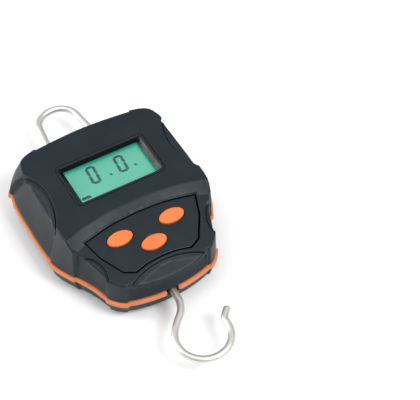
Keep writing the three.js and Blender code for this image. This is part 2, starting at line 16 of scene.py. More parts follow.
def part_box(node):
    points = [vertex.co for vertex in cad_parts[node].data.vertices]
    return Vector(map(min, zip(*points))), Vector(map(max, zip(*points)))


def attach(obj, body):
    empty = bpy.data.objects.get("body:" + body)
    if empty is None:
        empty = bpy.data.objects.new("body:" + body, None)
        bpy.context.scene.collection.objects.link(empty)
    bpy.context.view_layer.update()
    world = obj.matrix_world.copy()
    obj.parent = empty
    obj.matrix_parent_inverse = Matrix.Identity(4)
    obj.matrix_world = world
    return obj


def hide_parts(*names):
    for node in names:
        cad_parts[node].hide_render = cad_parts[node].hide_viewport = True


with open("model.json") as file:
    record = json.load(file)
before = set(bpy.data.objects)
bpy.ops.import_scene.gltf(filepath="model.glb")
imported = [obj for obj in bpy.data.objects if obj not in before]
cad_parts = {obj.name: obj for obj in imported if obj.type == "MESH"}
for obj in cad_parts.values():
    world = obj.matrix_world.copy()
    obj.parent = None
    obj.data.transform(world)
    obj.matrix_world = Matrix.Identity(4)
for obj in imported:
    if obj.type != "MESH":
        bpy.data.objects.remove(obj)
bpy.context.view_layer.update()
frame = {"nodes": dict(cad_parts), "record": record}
MM = 0.001
record_slots = {part["node"]: part["material_slot"] for part in frame["record"]["subparts"]}

# %% [markdown]
# ## The camera
# The scale is seen from the hook's side, turned about 30 degrees and from 51 degrees up, through
# a long lens, so that its sides stay nearly parallel. A camera looks along its own -Z, so its
# matrix is built from the right, up and backward directions.

# %% Place the camera
CAMERA_AT = np.array([-166.97, -364.76, 531.42])
CAMERA_RIGHT = (0.86544, -0.50097, 0.00622)
CAMERA_UP = (0.38768, 0.67748, 0.62508)
CAMERA_BACK = (-0.31736, -0.53855, 0.78054)
LENS_MM = 110.66

scene = bpy.context.scene
camera = bpy.data.objects.new("camera", bpy.data.cameras.new("camera"))
scene.collection.objects.link(camera)
turn = Matrix((CAMERA_RIGHT, CAMERA_UP, CAMERA_BACK)).transposed()
camera.matrix_world = Matrix.Translation(CAMERA_AT * MM) @ turn.to_4x4()
camera.data.lens = LENS_MM
camera.data.sensor_width = 36
camera.data.clip_start = 0.01
scene.camera = camera
print("camera", [round(c) for c in CAMERA_AT], "mm, lens", camera.data.lens)

# %% [markdown]
# ## Light
# A catalogue picture is lit from everywhere. The room is white and brightest overhead, a large
# lamp on the left brightens the side walls, a weak one hangs overhead, and one in front on the
# right shapes the hook's end. A large lamp gives soft shadows because each point of the floor
# sees most of it. The Standard view keeps whites white, where a filmic view would grey them.

# %% Lamps and room
scene.view_settings.view_transform = "Standard"
LAMPS_AIM = Vector((0, 0, 0.02))
ROOM_COLOUR = (0.97, 0.98, 1, 1)
ROOM_HORIZON, ROOM_OVERHEAD, OVERHEAD_FROM = 0.20, 0.85, 0.85


def map_range(tree, value, start, end, low=0.0, high=1.0, soft=False):
    """A node that turns start to end into low to high, and holds still outside them."""
    ramp = tree.nodes.new("ShaderNodeMapRange")
    if soft:
        ramp.interpolation_type = "SMOOTHSTEP"
    for name, number in (("From Min", start), ("From Max", end), ("To Min", low), ("To Max", high)):
        ramp.inputs[name].default_value = number
    tree.links.new(value, ramp.inputs["Value"])
    return ramp.outputs["Result"]


def soft_lamp(name, at, size, watts):
    lamp = bpy.data.lights.new(name, "AREA")
    lamp.shape = "DISK"
    lamp.size = size
    lamp.energy = watts
    holder = bpy.data.objects.new(name, lamp)
    scene.collection.objects.link(holder)
    holder.location = at
    holder.rotation_euler = (LAMPS_AIM - Vector(at)).to_track_quat("-Z", "Y").to_euler()


soft_lamp("lamp_left", (-0.85, 0.62, 0.40), 0.5, 6.5)
soft_lamp("lamp_over", (-0.30, 0.10, 1.0), 0.6, 1.5)
soft_lamp("lamp_right", (0.34, -0.64, 0.94), 0.55, 9)

room = bpy.data.worlds.new("white_room")
room.use_nodes = True
sky = room.node_tree
sky.nodes["Background"].inputs["Color"].default_value = ROOM_COLOUR
direction = sky.nodes.new("ShaderNodeTexCoord")
height = sky.nodes.new("ShaderNodeSeparateXYZ")
sky.links.new(direction.outputs["Generated"], height.inputs["Vector"])
glow = map_range(sky, height.outputs["Z"], 0, OVERHEAD_FROM, ROOM_HORIZON, ROOM_OVERHEAD)
sky.links.new(glow, sky.nodes["Background"].inputs["Strength"])
scene.world = room

# %% [markdown]
# ## A helper for finishes
# Every finish is the same recipe with other numbers: a base colour that wanders a little, a
# roughness that wanders, and a fine bump. Noise in object coordinates needs no unwrapping. Its
# scale is the number of grains in a metre, so it is worked out from a grain's size.

# %% The recipe for a finish
def noise(tree, grain_mm, detail=2.0):
    where = tree.nodes.new("ShaderNodeTexCoord")
    texture = tree.nodes.new("ShaderNodeTexNoise")
    texture.inputs["Scale"].default_value = 1 / (grain_mm * MM)
    texture.inputs["Detail"].default_value = detail
    tree.links.new(where.outputs["Object"], texture.inputs["Vector"])
    return texture.outputs["Fac"]


def between(tree, factor, low, high):
    """Noise seldom leaves 0.3 to 0.7, so that span is what goes from low to high."""
    return map_range(tree, factor, 0.3, 0.7, low, high)


def two_colours(tree, factor, first, second):
    """Goes from the first colour to the second, which may be a colour or another node's output."""
    mix = tree.nodes.new("ShaderNodeMix")
    mix.data_type = "RGBA"
    mix.inputs["A"].default_value = (*first, 1)
    if isinstance(second, bpy.types.NodeSocket):
        tree.links.new(second, mix.inputs["B"])
    else:
        mix.inputs["B"].default_value = (*second, 1)
    tree.links.new(factor, mix.inputs["Factor"])
    return mix.outputs["Result"]


def bump_of(tree, height, depth_mm):
    bump = tree.nodes.new("ShaderNodeBump")
    bump.inputs["Distance"].default_value = depth_mm * MM
    bump.inputs["Strength"].default_value = 1
    tree.links.new(height, bump.inputs["Height"])
    return bump.outputs["Normal"]


def new_material(name):
    material = bpy.data.materials.new(name)
    material.use_nodes = True
    tree = material.node_tree
    return material, tree, tree.nodes["Principled BSDF"]


def finish(name, colours, roughness, grain=(0.25, 0.02), patch_mm=14, metallic=0.0, **sockets):
    """grain is the size and the depth of the bump's grains in millimetres."""
    material, tree, shader = new_material(name)
    shader.inputs["Metallic"].default_value = metallic
    for socket, value in sockets.items():
        shader.inputs[socket.replace("_", " ")].default_value = value
    patches = noise(tree, patch_mm, 3)
    colour = two_colours(tree, between(tree, patches, 0, 1), *colours)
    tree.links.new(colour, shader.inputs["Base Color"])
    tree.links.new(between(tree, noise(tree, patch_mm / 3, 4), *roughness), shader.inputs["Roughness"])
    grain_mm, depth_mm = grain
    tree.links.new(bump_of(tree, noise(tree, grain_mm), depth_mm), shader.inputs["Normal"])
    return material


# %% [markdown]
# ## The finishes
# The casing is soft-touch plastic: nearly black, a little blue, moulded against a finely etched
# tool, so it has a grain a third of a millimetre across and little gloss. The band and the
# buttons are orange silicone rubber. Wire and plated parts are metallic. The wire is satin, with
# a shallow grain and blurred reflections.

# %% Plastics, rubbers and metals
finishes = {
    "casing_plastic": finish(
        "soft_touch_plastic", ((0.0085, 0.0145, 0.0195), (0.0115, 0.0180, 0.0235)), (0.38, 0.46),
        grain=(0.3, 0.012), Specular_IOR_Level=0.22),
    "trim_rubber": finish(
        "band_rubber", ((0.62, 0.195, 0.075), (0.69, 0.225, 0.09)), (0.45, 0.6), grain=(0.4, 0.02),
        Specular_IOR_Level=0.3),
    "button_orange": finish(
        "button_rubber", ((0.72, 0.165, 0.042), (0.78, 0.19, 0.052)), (0.5, 0.62),
        grain=(0.35, 0.03), Specular_IOR_Level=0.3),
    "wire_steel": finish(
        "drawn_wire", ((0.68, 0.66, 0.63), (0.76, 0.74, 0.71)), (0.40, 0.48), grain=(0.6, 0.003),
        metallic=1.0),
    "light_guide": finish(
        "milky_acrylic", ((0.75, 0.80, 0.78), (0.82, 0.86, 0.84)), (0.3, 0.4), grain=(1.5, 0.01)),
    "black_plastic": finish(
        "black_nylon", ((0.016, 0.016, 0.018), (0.026, 0.026, 0.028)), (0.45, 0.6)),
    "circuit_board": finish(
        "green_board", ((0.012, 0.11, 0.05), (0.02, 0.16, 0.07)), (0.35, 0.5), grain=(0.8, 0.03)),
    "black_rubber": finish(
        "black_rubber", ((0.008, 0.008, 0.009), (0.014, 0.014, 0.015)), (0.65, 0.8)),
    "machined_aluminium": finish(
        "milled_aluminium", ((0.62, 0.63, 0.65), (0.72, 0.73, 0.75)), (0.3, 0.42), metallic=1.0),
    "copper_foil": finish(
        "copper", ((0.72, 0.36, 0.20), (0.80, 0.44, 0.27)), (0.25, 0.4), metallic=1.0),
    "battery_wrap": finish(
        "battery_sleeve", ((0.03, 0.10, 0.20), (0.05, 0.14, 0.26)), (0.3, 0.4), grain=(2, 0.02)),
    "red_insulation": finish(
        "red_insulation", ((0.45, 0.03, 0.02), (0.55, 0.05, 0.03)), (0.4, 0.55)),
    "zinc_steel": finish(
        "zinc_plate", ((0.50, 0.51, 0.52), (0.64, 0.65, 0.66)), (0.25, 0.42), metallic=1.0,
        grain=(0.5, 0.015)),
}
print("finishes", len(finishes))

# %% [markdown]
# ## Helpers for shapes
# Two ways of making a mesh cover the whole scale. `stack` skins a pile of closed rings, which
# makes a casing half, a button, a screw or a wire, and `ring_solid` joins loops into a frame or
# a bush. `carve` cuts or joins solids with the Manifold solver, which is quick and always leaves
# a closed mesh. Shapes are worked out in millimetres and turned into metres as a mesh is made.

# %% Skin a pile of rings
def at_height(plan, z):
    """A flat outline of x, y points as points in space, at one height."""
    return np.column_stack([plan, np.full(len(plan), float(z))])


def mesh_object(name, points, faces):
    mesh = bpy.data.meshes.new(name)
    mesh.from_pydata((np.asarray(points, float) * MM).tolist(), [], faces)
    mesh.validate()
    mesh.update()
    made = bpy.data.objects.new(name, mesh)
    scene.collection.objects.link(made)
    return made


def stack(name, rings, first=None, last=None):
    """A closed solid through rings of equal length, listed from below upwards and running
    anticlockwise seen from above. first and last are the middles of its two caps."""
    rings = [np.asarray(r, float) for r in rings]
    around = len(rings[0])
    first = rings[0].mean(0) if first is None else np.asarray(first, float)
    last = rings[-1].mean(0) if last is None else np.asarray(last, float)
    points = np.vstack([*rings, first, last])
    i = np.arange(around)
    j = (i + 1) % around
    faces = []
    for row in range(len(rings) - 1):
        low, high = row * around, (row + 1) * around
        faces += np.stack([low + i, low + j, high + j, high + i], 1).tolist()
    bottom, top = len(points) - 2, len(points) - 1
    faces += np.stack([np.full(around, bottom), j, i], 1).tolist()
    base = (len(rings) - 1) * around
    faces += np.stack([np.full(around, top), base + i, base + j], 1).tolist()
    return mesh_object(name, points, faces)


def layers(name, plan_at, profile):
    """A solid through (outset, z) pairs from below, where plan_at(outset) is its plan."""
    return stack(name, [at_height(plan_at(outset), z) for outset, z in profile])


def ring_solid(name, loops):
    """A ring whose section is the closed polygon that the loops pass through."""
    loops = np.array(loops)
    count, around = loops.shape[:2]
    i = np.arange(around)
    j = (i + 1) % around
    faces = []
    for row in range(count):
        here, there = row * around, (row + 1) % count * around
        faces += np.stack([here + i, here + j, there + j, there + i], 1).tolist()
    return mesh_object(name, loops.reshape(-1, 3), faces)


def carve(target, *tools, how="DIFFERENCE"):
    for tool in tools:
        step = target.modifiers.new("carve", "BOOLEAN")
        step.operation = how
        step.solver = "MANIFOLD"
        step.object = tool
        with bpy.context.temp_override(object=target, active_object=target):
            bpy.context.view_layer.objects.active = target
            bpy.ops.object.modifier_apply(modifier=step.name)
        bpy.data.objects.remove(tool)
    return target


def smooth(piece, degrees=35):
    """Round shading, kept crisp where two faces meet at more than that angle. Large flat faces
    weigh most in it, so that they stay flat between their rounded edges."""
    piece.data.shade_smooth()
    piece.data.set_sharp_from_angle(angle=math.radians(degrees))
    level = piece.modifiers.new("level", "WEIGHTED_NORMAL")
    level.keep_sharp = True
    bpy.context.view_layer.objects.active = piece
    with bpy.context.temp_override(object=piece, active_object=piece):
        bpy.ops.object.modifier_apply(modifier=level.name)
    return piece


def dress(piece, body, slot, *nodes, material=None):
    """Gives a piece its body and its finish, which is the slot's own unless another is named,
    and hides the nodes that it stands for."""
    piece.data.materials.clear()
    piece.data.materials.append(material or finishes[slot])
    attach(piece, body)
    if nodes:
        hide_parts(*nodes)
    print(piece.name, "rides on", body, "-", len(piece.data.polygons), "faces")
    return piece


# %% [markdown]
# ## The casing's outline
# Both halves and the band follow one outline. It is a closed smooth curve through a
# few knots on one side, mirrored to the other: once at the parting line and once at the height
# of the face, where the walls have leaned in. Walking it by arc length keeps the mesh even.

# %% The outline
KNOTS = np.array([
    [0, 54.2, 0, 49.8], [25.5, 52.6, 24, 48.1], [32, 51.7, 28.6, 47.2], [41, 48.6, 35.4, 44.3],
    [44.1, 40.9, 38.2, 37.9], [45.1, 18.4, 39.2, 18.4], [44.3, -0.5, 39.2, -1.5],
    [42.4, -8, 38.9, -9.5], [39.5, -14, 37.7, -15.2], [33.3, -26, 32.6, -26.6],
    [28.9, -37, 28, -36.9], [23.4, -42.4, 22.4, -41.8], [12.5, -45.6, 12, -44.6],
    [0, -46.6, 0, -45.6]])
PART_LOW, PART_HIGH = 11.0, 14.4
FACE_Z = 39.3
FACE_LEVEL = 1.1
MIDDLE = np.array([0, 3.8])
HALF_SIZE = np.array([43, 50])


def smooth_curve(knots, where, closed):
    """Centripetal Catmull-Rom through the knots, at where = knot number plus fraction."""
    knots = np.asarray(knots, float)
    count = len(knots)
    if closed:
        padded = np.vstack([knots[-1:], knots, knots[:2]])
    else:
        padded = np.vstack([2 * knots[0] - knots[1], knots, 2 * knots[-1] - knots[-2]])
    spans = count if closed else count - 1
    where = np.clip(np.asarray(where, float), 0, spans)
    span = np.minimum(where.astype(int), spans - 1)
    t = (where - span)[:, None]
    a, b, c, d = (padded[span + k] for k in range(4))
    before, here, after = (np.sqrt(np.linalg.norm(q - p, axis=1))[:, None]
                           for p, q in ((a, b), (b, c), (c, d)))
    leave = ((b - a) / before - (c - a) / (before + here) + (c - b) / here) * here
    arrive = ((c - b) / here - (d - b) / (here + after) + (d - c) / after) * here
    bend = -3 * b + 3 * c - 2 * leave - arrive
    twist = 2 * b - 2 * c + leave + arrive
    return b + leave * t + bend * t**2 + twist * t**3


def outline_knots(level):
    right = KNOTS[:, :2] + (KNOTS[:, 2:] - KNOTS[:, :2]) * level
    left = right[-2:0:-1] * [-1, 1]
    return np.vstack([right, left])


def even_steps(knots, count, closed):
    """Where to sample a smooth curve so that the samples are equally far apart."""
    spans = len(knots) if closed else len(knots) - 1
    fine = np.linspace(0, spans, 40 * spans + 1)
    points = smooth_curve(knots, fine, closed)
    walked = np.concatenate([[0], np.cumsum(np.linalg.norm(np.diff(points, axis=0), axis=1))])
    share = np.arange(count) / (count if closed else count - 1)
    return np.interp(share * walked[-1], walked, fine)


def outline(level, count):
    """The outline, anticlockwise from the hanger end, and its outward normals."""
    where = even_steps(outline_knots(0), count, True)
    points = smooth_curve(outline_knots(level), where, True)[::-1]
    along = np.roll(points, -1, 0) - np.roll(points, 1, 0)
    normal = np.stack([along[:, 1], -along[:, 0]], 1)
    return points, normal / np.linalg.norm(normal, axis=1)[:, None]


def drawn_in(points, shrink):
    """The outline drawn in towards the middle of the casing, which keeps its corners clean."""
    return MIDDLE + (points - MIDDLE) * (1 - shrink / HALF_SIZE)


widest = outline(0, 360)[0]
print("outline", round(np.ptp(widest[:, 0]), 1), "by", round(np.ptp(widest[:, 1]), 1), "mm")

# %% [markdown]
# ## Pads and finger hollows
# Six thick pads of the same plastic stand a millimetre proud of the walls: at the two hanger
# corners, the two shoulders and the two hook corners. The hanger pads have a belly above the
# band. Between the pads the walls are hollowed for the fingers, up to a lip under each scoop.
# All are soft-edged masks over the plan and the height, which are added to the wall: cheaper
# than cutting them, and the mesh stays even.

# %% How far the walls stand out
PAD_PROUD = 1.0
PAD_EDGE = 0.9
BELLY, BELLY_LOW, BELLY_TOP_Z = 4.8, 0.45, 37
GRIP_EDGE = 0.7
GRIP_LOW = 16.4
# How deep each hollow is, where it is deepest and where its lip ends, in z.
SIDE_GRIP = (1.7, 33.3, 34.9)
HOOK_GRIP = (1.0, 22.9, 24.5)
CORNER_GRIP, CORNER_LIP = 1.3, 1.4
CORNER_Y, CORNER_Z, CORNER_FALL = -15.5, 35.2, 0.279
# Where each pad starts: the x of its inner edge and the y that it lies between or beyond.
HANGER_PAD_X = 26.5
SHOULDER_PAD = (30, -17.7, -2)
HOOK_PAD = (21.8, -34.9)
LINE_Z = 12.7
BAND_LOW, BAND_HIGH = LINE_Z - 1.4, LINE_Z + 1.4


def ease(t):
    t = np.clip(t, 0, 1)
    return t * t * (3 - 2 * t)


# The hanger pads' edge: its y at each of these heights.
EDGE_Z = [11, 11.2, 14.8, 18, 21.9, 27.7, 32.9, 38.4]
EDGE_Y = [38.5, 45.1, 45.1, 44.6, 43.5, 40.5, 37.3, 33.6]


def pad_belly(z):
    """How much further the hanger pads swell out between the band and the face."""
    rise = np.clip((z - LINE_Z) / (BELLY_TOP_Z - LINE_Z), 0, 1)
    return BELLY_LOW * (1 - rise) + BELLY * rise * (1 - rise)


def pads(points, z):
    """How far the wall stands out. The hanger pads' edge curves towards the hanger lower down."""
    x, y = np.abs(points[:, 0]), points[:, 1]
    start = np.interp(z, EDGE_Z, EDGE_Y)
    hanger = ease((x - HANGER_PAD_X) / PAD_EDGE) * ease((y - start) / PAD_EDGE)
    hanger *= 1 + pad_belly(z) * ease((x - 30) / 8) * (np.asarray(z) > BAND_LOW)
    inner, near, far = SHOULDER_PAD
    shoulder = ease((x - inner) / PAD_EDGE) * ease((y - near) / PAD_EDGE)
    shoulder *= ease((far - y) / PAD_EDGE)
    hook = ease((x - HOOK_PAD[0]) / PAD_EDGE) * ease((HOOK_PAD[1] - y) / PAD_EDGE)
    return (PAD_PROUD * np.maximum.reduce([hanger, shoulder, hook]))[:, None]


def hollow(z, low, deep, high):
    """The depth of a finger hollow, 0 to 1: slowly from below, then sharply out to a lip."""
    sweep = 1 - np.clip((deep - z) / (deep - low), 0, 1) ** 2
    return np.minimum(sweep, ease((high - z) / (high - deep)))


def corner_lip(y):
    """The height of the lip over a corner hollow, which falls with the button slope."""
    return CORNER_Z + (y - CORNER_Y) * CORNER_FALL - CORNER_GRIP


def grips(points, z):
    """How far the walls are hollowed for the fingers, at the sides, the corners and the hook."""
    x, y = np.abs(points[:, 0]), points[:, 1]
    z = np.asarray(z)
    side = SIDE_GRIP[0] * hollow(z, GRIP_LOW, *SIDE_GRIP[1:]) * (x > 30)
    side *= ease((np.interp(z, EDGE_Z, EDGE_Y) - y) / GRIP_EDGE) * ease((y + 1.6) / GRIP_EDGE)
    top = corner_lip(y)
    corner = CORNER_GRIP * hollow(z, GRIP_LOW, top - CORNER_LIP, top)
    corner = corner * ease((-17.9 - y) / GRIP_EDGE) * ease((y + 34.7) / GRIP_EDGE)
    hook = HOOK_GRIP[0] * hollow(z, GRIP_LOW, *HOOK_GRIP[1:])
    hook = hook * ease((21.4 - x) / GRIP_EDGE) * (y < -38)
    return (side + corner + hook)[:, None]


print("share of the outline under a pad", round(float(np.mean(pads(widest, PART_HIGH) > 0.5)), 2))

# %% [markdown]
# ## The height of the face
# From above, the front is a height for each place: a flat plateau with the display, which bends
# down slightly at the hanger end, a bevel along an arc, and a slope with the buttons. Five
# finger scoops are let into its edge. The heights blend softly here, and the crisp steps round
# the scoops are cut afterwards.

# %% Heights of the face
SLOPE = math.radians(15.6)
SLOPE_Y, SLOPE_Z = -15.5, 35.2
BEVEL_MIDDLE = np.array([0, -118])
BEVEL_OUTER, BEVEL_INNER = 112.0, 106.6
BLEND = 0.25
SCOOPS = [((side * 69.7, 16.4), 36.0) for side in (-1, 1)]
CORNERS = [((side * 40.9, -32.2), 12.9) for side in (-1, 1)]
HOOK_END = ((0, -80.1), 42.0)
LIP_ROOM = 1.0
SAG, SAG_FROM, SAG_LENGTH = 1.4, 29, 20.8


def slope_at(y):
    return SLOPE_Z + (y - SLOPE_Y) * math.tan(SLOPE)


def scoop_floor(x, y):
    return 38.7 - (np.abs(x) - 32.7) * 0.44


def corner_floor(x, y):
    return slope_at(y) - 0.9 - 0.16 * (np.abs(x) - 29)


def hook_floor(x, y):
    return slope_at(y) - 0.7 + (y + 36) * 0.1125


def plateau_at(x, y):
    return FACE_Z - SAG * (np.clip(y - SAG_FROM, 0, None) / SAG_LENGTH) ** 2


def face_height(x, y, scooped=True):
    reach = np.hypot(x - BEVEL_MIDDLE[0], y - BEVEL_MIDDLE[1])
    foot = BEVEL_MIDDLE[1] + (y - BEVEL_MIDDLE[1]) * BEVEL_INNER / reach
    bevel = slope_at(foot) + (FACE_Z - slope_at(foot)) * (reach - BEVEL_INNER) / (
        BEVEL_OUTER - BEVEL_INNER)
    low = slope_at(y)
    bevel = (bevel + low + np.sqrt((bevel - low) ** 2 + BLEND)) / 2
    top = plateau_at(x, y)
    height = np.where(reach < BEVEL_INNER, low, bevel)
    height = (height + top - np.sqrt((height - top) ** 2 + BLEND * 0.3)) / 2
    if not scooped:
        return height
    for places, floor in ((SCOOPS, scoop_floor), (CORNERS, corner_floor), ([HOOK_END], hook_floor)):
        for (at_x, at_y), radius in places:
            inside = radius - np.hypot(x - at_x, y - at_y)
            share = ease((inside - LIP_ROOM) / 0.8)
            height = height + (np.minimum(floor(x, y), height) - height) * share
    return height


spots = {"display": (0, 17), "bevel": (0, -8), "panel": (0, -25), "side scoop": (37, 16)}
for spot, (x, y) in spots.items():
    print(spot, "height", round(float(face_height(np.array([x]), np.array([y]))[0]), 2))

# %% [markdown]
# ## A casing half
# A half is skinned from the parting line up its wall to the crest, then inwards over the face to
# the middle. For each step round the outline the crest is where wall and face meet, found by
# halving an interval. Averaging each row with its neighbours there rounds the crest, as a tool
# maker would round it with a ball cutter. A small chamfer at the wall's foot makes the dark line
# over the band.

# %% Skin a half
FACE_MIDDLE = np.array([0, 8.0])
HALVINGS = 34
CREST_ROWS = 14
ROUNDED_BELOW, ROUNDED_ABOVE = 6, 12


def half_rows(wall, face, start, stop, wall_shares, steps, rounding, rest_rows):
    """Rings of a casing half from its parting line to near its middle. wall(z) gives the wall's
    plan at a height and face(x, y) the height of the end that closes it. The rows next to the
    crest are steps apart, rest_rows more reach inwards, and rounding is how often they are
    averaged."""
    low = np.full(len(wall(start)), float(start))
    high = np.full_like(low, float(stop))
    for _ in range(HALVINGS):
        half = (low + high) / 2
        at = wall(half)
        short = (face(at[:, 0], at[:, 1]) - half) * np.sign(stop - start) > 0
        low = np.where(short, half, low)
        high = np.where(short, high, half)
    crest = low
    rows = []
    for share in wall_shares:
        z = start + (crest - start) * share
        rows.append(np.column_stack([wall(z), z]))
    edge = wall(crest)
    inward = FACE_MIDDLE - edge
    length = np.linalg.norm(inward, axis=1)[:, None]
    near = [k * steps for k in range(1, CREST_ROWS + 1)]
    offsets = [edge + inward / length * d for d in near]
    last = near[-1]
    for k in range(1, rest_rows):
        offsets.append(edge + inward / length * (last + (length - last) * k / rest_rows))
    for at in offsets:
        rows.append(np.column_stack([at, face(at[:, 0], at[:, 1])]))
    rows = np.array(rows)
    first_row = max(2, len(wall_shares) - ROUNDED_BELOW)
    stop_row = len(wall_shares) + ROUNDED_ABOVE
    for _ in range(rounding):
        inner = (rows[:-2] + 2 * rows[1:-1] + rows[2:]) / 4
        rows[first_row:stop_row] = inner[first_row - 1:stop_row - 1]
    return rows


FOOT_CHAMFER, FOOT_HIGH = 0.55, 0.7


def front_wall(count, shrink_low=0.0, shrink_high=0.0, proud=True):
    lower, out = outline(0, count)
    upper = outline(FACE_LEVEL, count)[0]
    lower, upper = drawn_in(lower, shrink_low), drawn_in(upper, shrink_high)

    def wall(z):
        share = ((np.asarray(z) - PART_HIGH) / (FACE_Z - PART_HIGH) * np.ones(count))[:, None]
        at = lower + (upper - lower) * share
        if not proud:
            return at
        above_foot = (np.asarray(z) - PART_HIGH) / FOOT_HIGH
        foot = FOOT_CHAMFER * np.clip(1 - above_foot, 0, 1) * np.ones(count)
        return at + out * (pads(at, z) - grips(at, z) - foot[:, None])

    return wall


def dome(name, rows, cap_z):
    middle_z = rows[-1][:, 2].mean()
    return stack(name, rows, first=(*FACE_MIDDLE, cap_z), last=(*FACE_MIDDLE, middle_z))


AROUND = 840
wall_shares = [0, 0.017, 0.034, 0.07, 0.11, 0.16, 0.22, 0.3, 0.38, 0.46, 0.54, 0.62, 0.69, 0.75,
               0.8, 0.83, 0.86, 0.885, 0.91, 0.93, 0.95, 0.967, 0.984, 1]
front_rows = half_rows(front_wall(AROUND), face_height, PART_HIGH, FACE_Z + 0.2, wall_shares,
                       steps=0.46, rounding=5, rest_rows=58)
front = dome("front_shell_fine", front_rows, PART_HIGH)
print("front half", len(front.data.vertices), "points, top at", round(front_rows[..., 2].max(), 2))

# %% [markdown]
# ## Cutters
# The steps round the scoops are crisp in plan and rounded at their upper edge, so their cutters
# are turned like a bowl: a pile of circles that ends in a quarter-round. The cutter's middle
# lies a hair above the face's own scoop, which keeps that smooth floor, and its rim goes a little
# deeper, which leaves a fine groove at the foot of the step. The same quarter-round serves the
# panel's recess and the display's window.

# %% Round-edged cutters
def ellipse(x, y, half_x, half_y, count):
    turn = np.arange(count) / count * 2 * math.pi
    return np.stack([x + half_x * np.cos(turn), y + half_y * np.sin(turn)], 1)


def circle(x, y, radius, count):
    return ellipse(x, y, radius, radius, count)


def quarter_round(size, steps=4):
    """Outset and height along a rounded upper edge, from the wall to the face."""
    turn = np.linspace(0, math.pi / 2, steps + 1)
    return [(size * (1 - math.cos(a)), size * (math.sin(a) - 1)) for a in turn]


SCOOP_LIP = 0.35
SCOOP_LEAN = 0.15
HAIR = 0.08
GROOVE_FEET = ((1.05, -HAIR), (SCOOP_LEAN + 0.45, 0.5), (SCOOP_LEAN, 0.45))


def scoop_cutter(name, at, radius, face, floor, count):
    rings = []
    for outset, rise in quarter_round(SCOOP_LIP) + [(SCOOP_LIP + 0.3, 0.05), (SCOOP_LIP + 0.3, 6)]:
        plan = circle(*at, radius + outset, count)
        rings.append(np.column_stack([plan, face(*plan.T) + rise]))
    feet = []
    for inset_by, drop in GROOVE_FEET:
        plan = circle(*at, radius - inset_by, count)
        foot = np.minimum(floor(*plan.T) - drop, rings[0][:, 2] - 0.05)
        feet.append(np.column_stack([plan, foot]))
    centre = np.array([at])
    return stack(name, feet + rings, first=(*at, floor(*centre.T)[0] + HAIR))


def flat_face(x, y):
    return np.full_like(x, FACE_Z)


def slope_face(x, y):
    return slope_at(y)


def side_floor(x, y):
    return scoop_floor(np.maximum(np.abs(x), 30), y)


for i, (at, radius) in enumerate(SCOOPS):
    carve(front, scoop_cutter(f"scoop_{i}", at, radius, flat_face, side_floor, 480))
for i, (at, radius) in enumerate(CORNERS):
    carve(front, scoop_cutter(f"corner_{i}", at, radius, slope_face, corner_floor, 240))
carve(front, scoop_cutter("hook_scoop", *HOOK_END, slope_face, hook_floor, 480))
print("after the scoops", len(front.data.polygons), "faces")

# %% [markdown]
# ## The button panel's recess
# The buttons sit in an inlaid panel that lies along the slope. Working in the slope's own frame
# (u across, v up the slope, w out of it) keeps its outline flat, and one matrix puts it in place.

# %% The panel's frame and outline
PANEL_Y = -25.0
panel_turn = np.array(Matrix.Rotation(SLOPE, 3, "X"))
panel_at = np.array([0, PANEL_Y, slope_at(PANEL_Y)])
BUTTON_HALF = (6.7, 3.7)
BUTTON_GAP = 0.35
CAP_SIDES = 96
BUTTONS = {"left": (-14.2, 4.8), "middle": (0.0, -3.9), "right": (14.2, 4.8)}


def on_panel(plan, w):
    """Points given as u, v in the panel's frame, at height w, in the casing's frame."""
    return at_height(np.asarray(plan, float), w) @ panel_turn.T + panel_at


def rounded(corners, radius, steps=6):
    """A polygon with each corner turned into an arc. radius is one number or one a corner."""
    corners = np.asarray(corners, float)
    radii = np.broadcast_to(radius, len(corners))
    points = []
    for i, at in enumerate(corners):
        back, on = corners[i - 1] - at, corners[(i + 1) % len(corners)] - at
        back, on = back / np.linalg.norm(back), on / np.linalg.norm(on)
        opening = math.acos(np.clip(back @ on, -1, 1))
        reach = radii[i] / math.tan(opening / 2)
        half = (back + on) / np.linalg.norm(back + on)
        centre = at + half * radii[i] / math.sin(opening / 2)
        first, final = at + back * reach - centre, at + on * reach - centre
        start, end = math.atan2(first[1], first[0]), math.atan2(final[1], final[0])
        turned_by = (end - start + math.pi) % (2 * math.pi) - math.pi
        for k in range(steps + 1):
            a = start + turned_by * k / steps
            points.append(centre + radii[i] * np.array([math.cos(a), math.sin(a)]))
    return np.array(points)


def panel_plan(grow=0.0):
    top = smooth_curve([[0, 13.7], [15, 12.8], [30, 9.9]], np.linspace(0, 2, 16), False)
    foot = smooth_curve([[15, -13.6], [8, -11.9], [0, -11.3]], np.linspace(0, 2, 12), False)
    half = np.vstack([top, [[27, 0], [20.4, -11.2]], foot])
    half = np.array([p for i, p in enumerate(half) if i == 0 or np.hypot(*(p - half[i - 1])) > 0.2])
    whole = np.vstack([half, half[-2:0:-1] * [-1, 1]])[::-1]
    return inset(whole, -grow)


def inset(points, amount):
    """A closed anticlockwise outline moved in along its normals, with mitred corners."""
    along = np.roll(points, -1, 0) - points
    along /= np.linalg.norm(along, axis=1)[:, None]
    inward = np.stack([-along[:, 1], along[:, 0]], 1)
    before = np.roll(inward, 1, 0)
    mitre = (inward + before) / (1 + (inward * before).sum(1))[:, None]
    return points + mitre * amount


tray = stack("tray", [on_panel(panel_plan(2.0), w) for w in (-4.6, -1.2)])
carve(front, tray, how="UNION")
RECESS_GAP = 0.65
RECESS_SHIFT = (0, -0.35)
recess_profile = [(0, -3.0), *quarter_round(0.3), (0.6, 0.06), (0.6, 5)]
recess = stack("recess", [on_panel(panel_plan(RECESS_GAP + outset) + RECESS_SHIFT, w)
                          for outset, w in recess_profile])
carve(front, recess)


def oval(u, v, grow):
    return ellipse(u, v, BUTTON_HALF[0] + grow, BUTTON_HALF[1] + grow, CAP_SIDES)


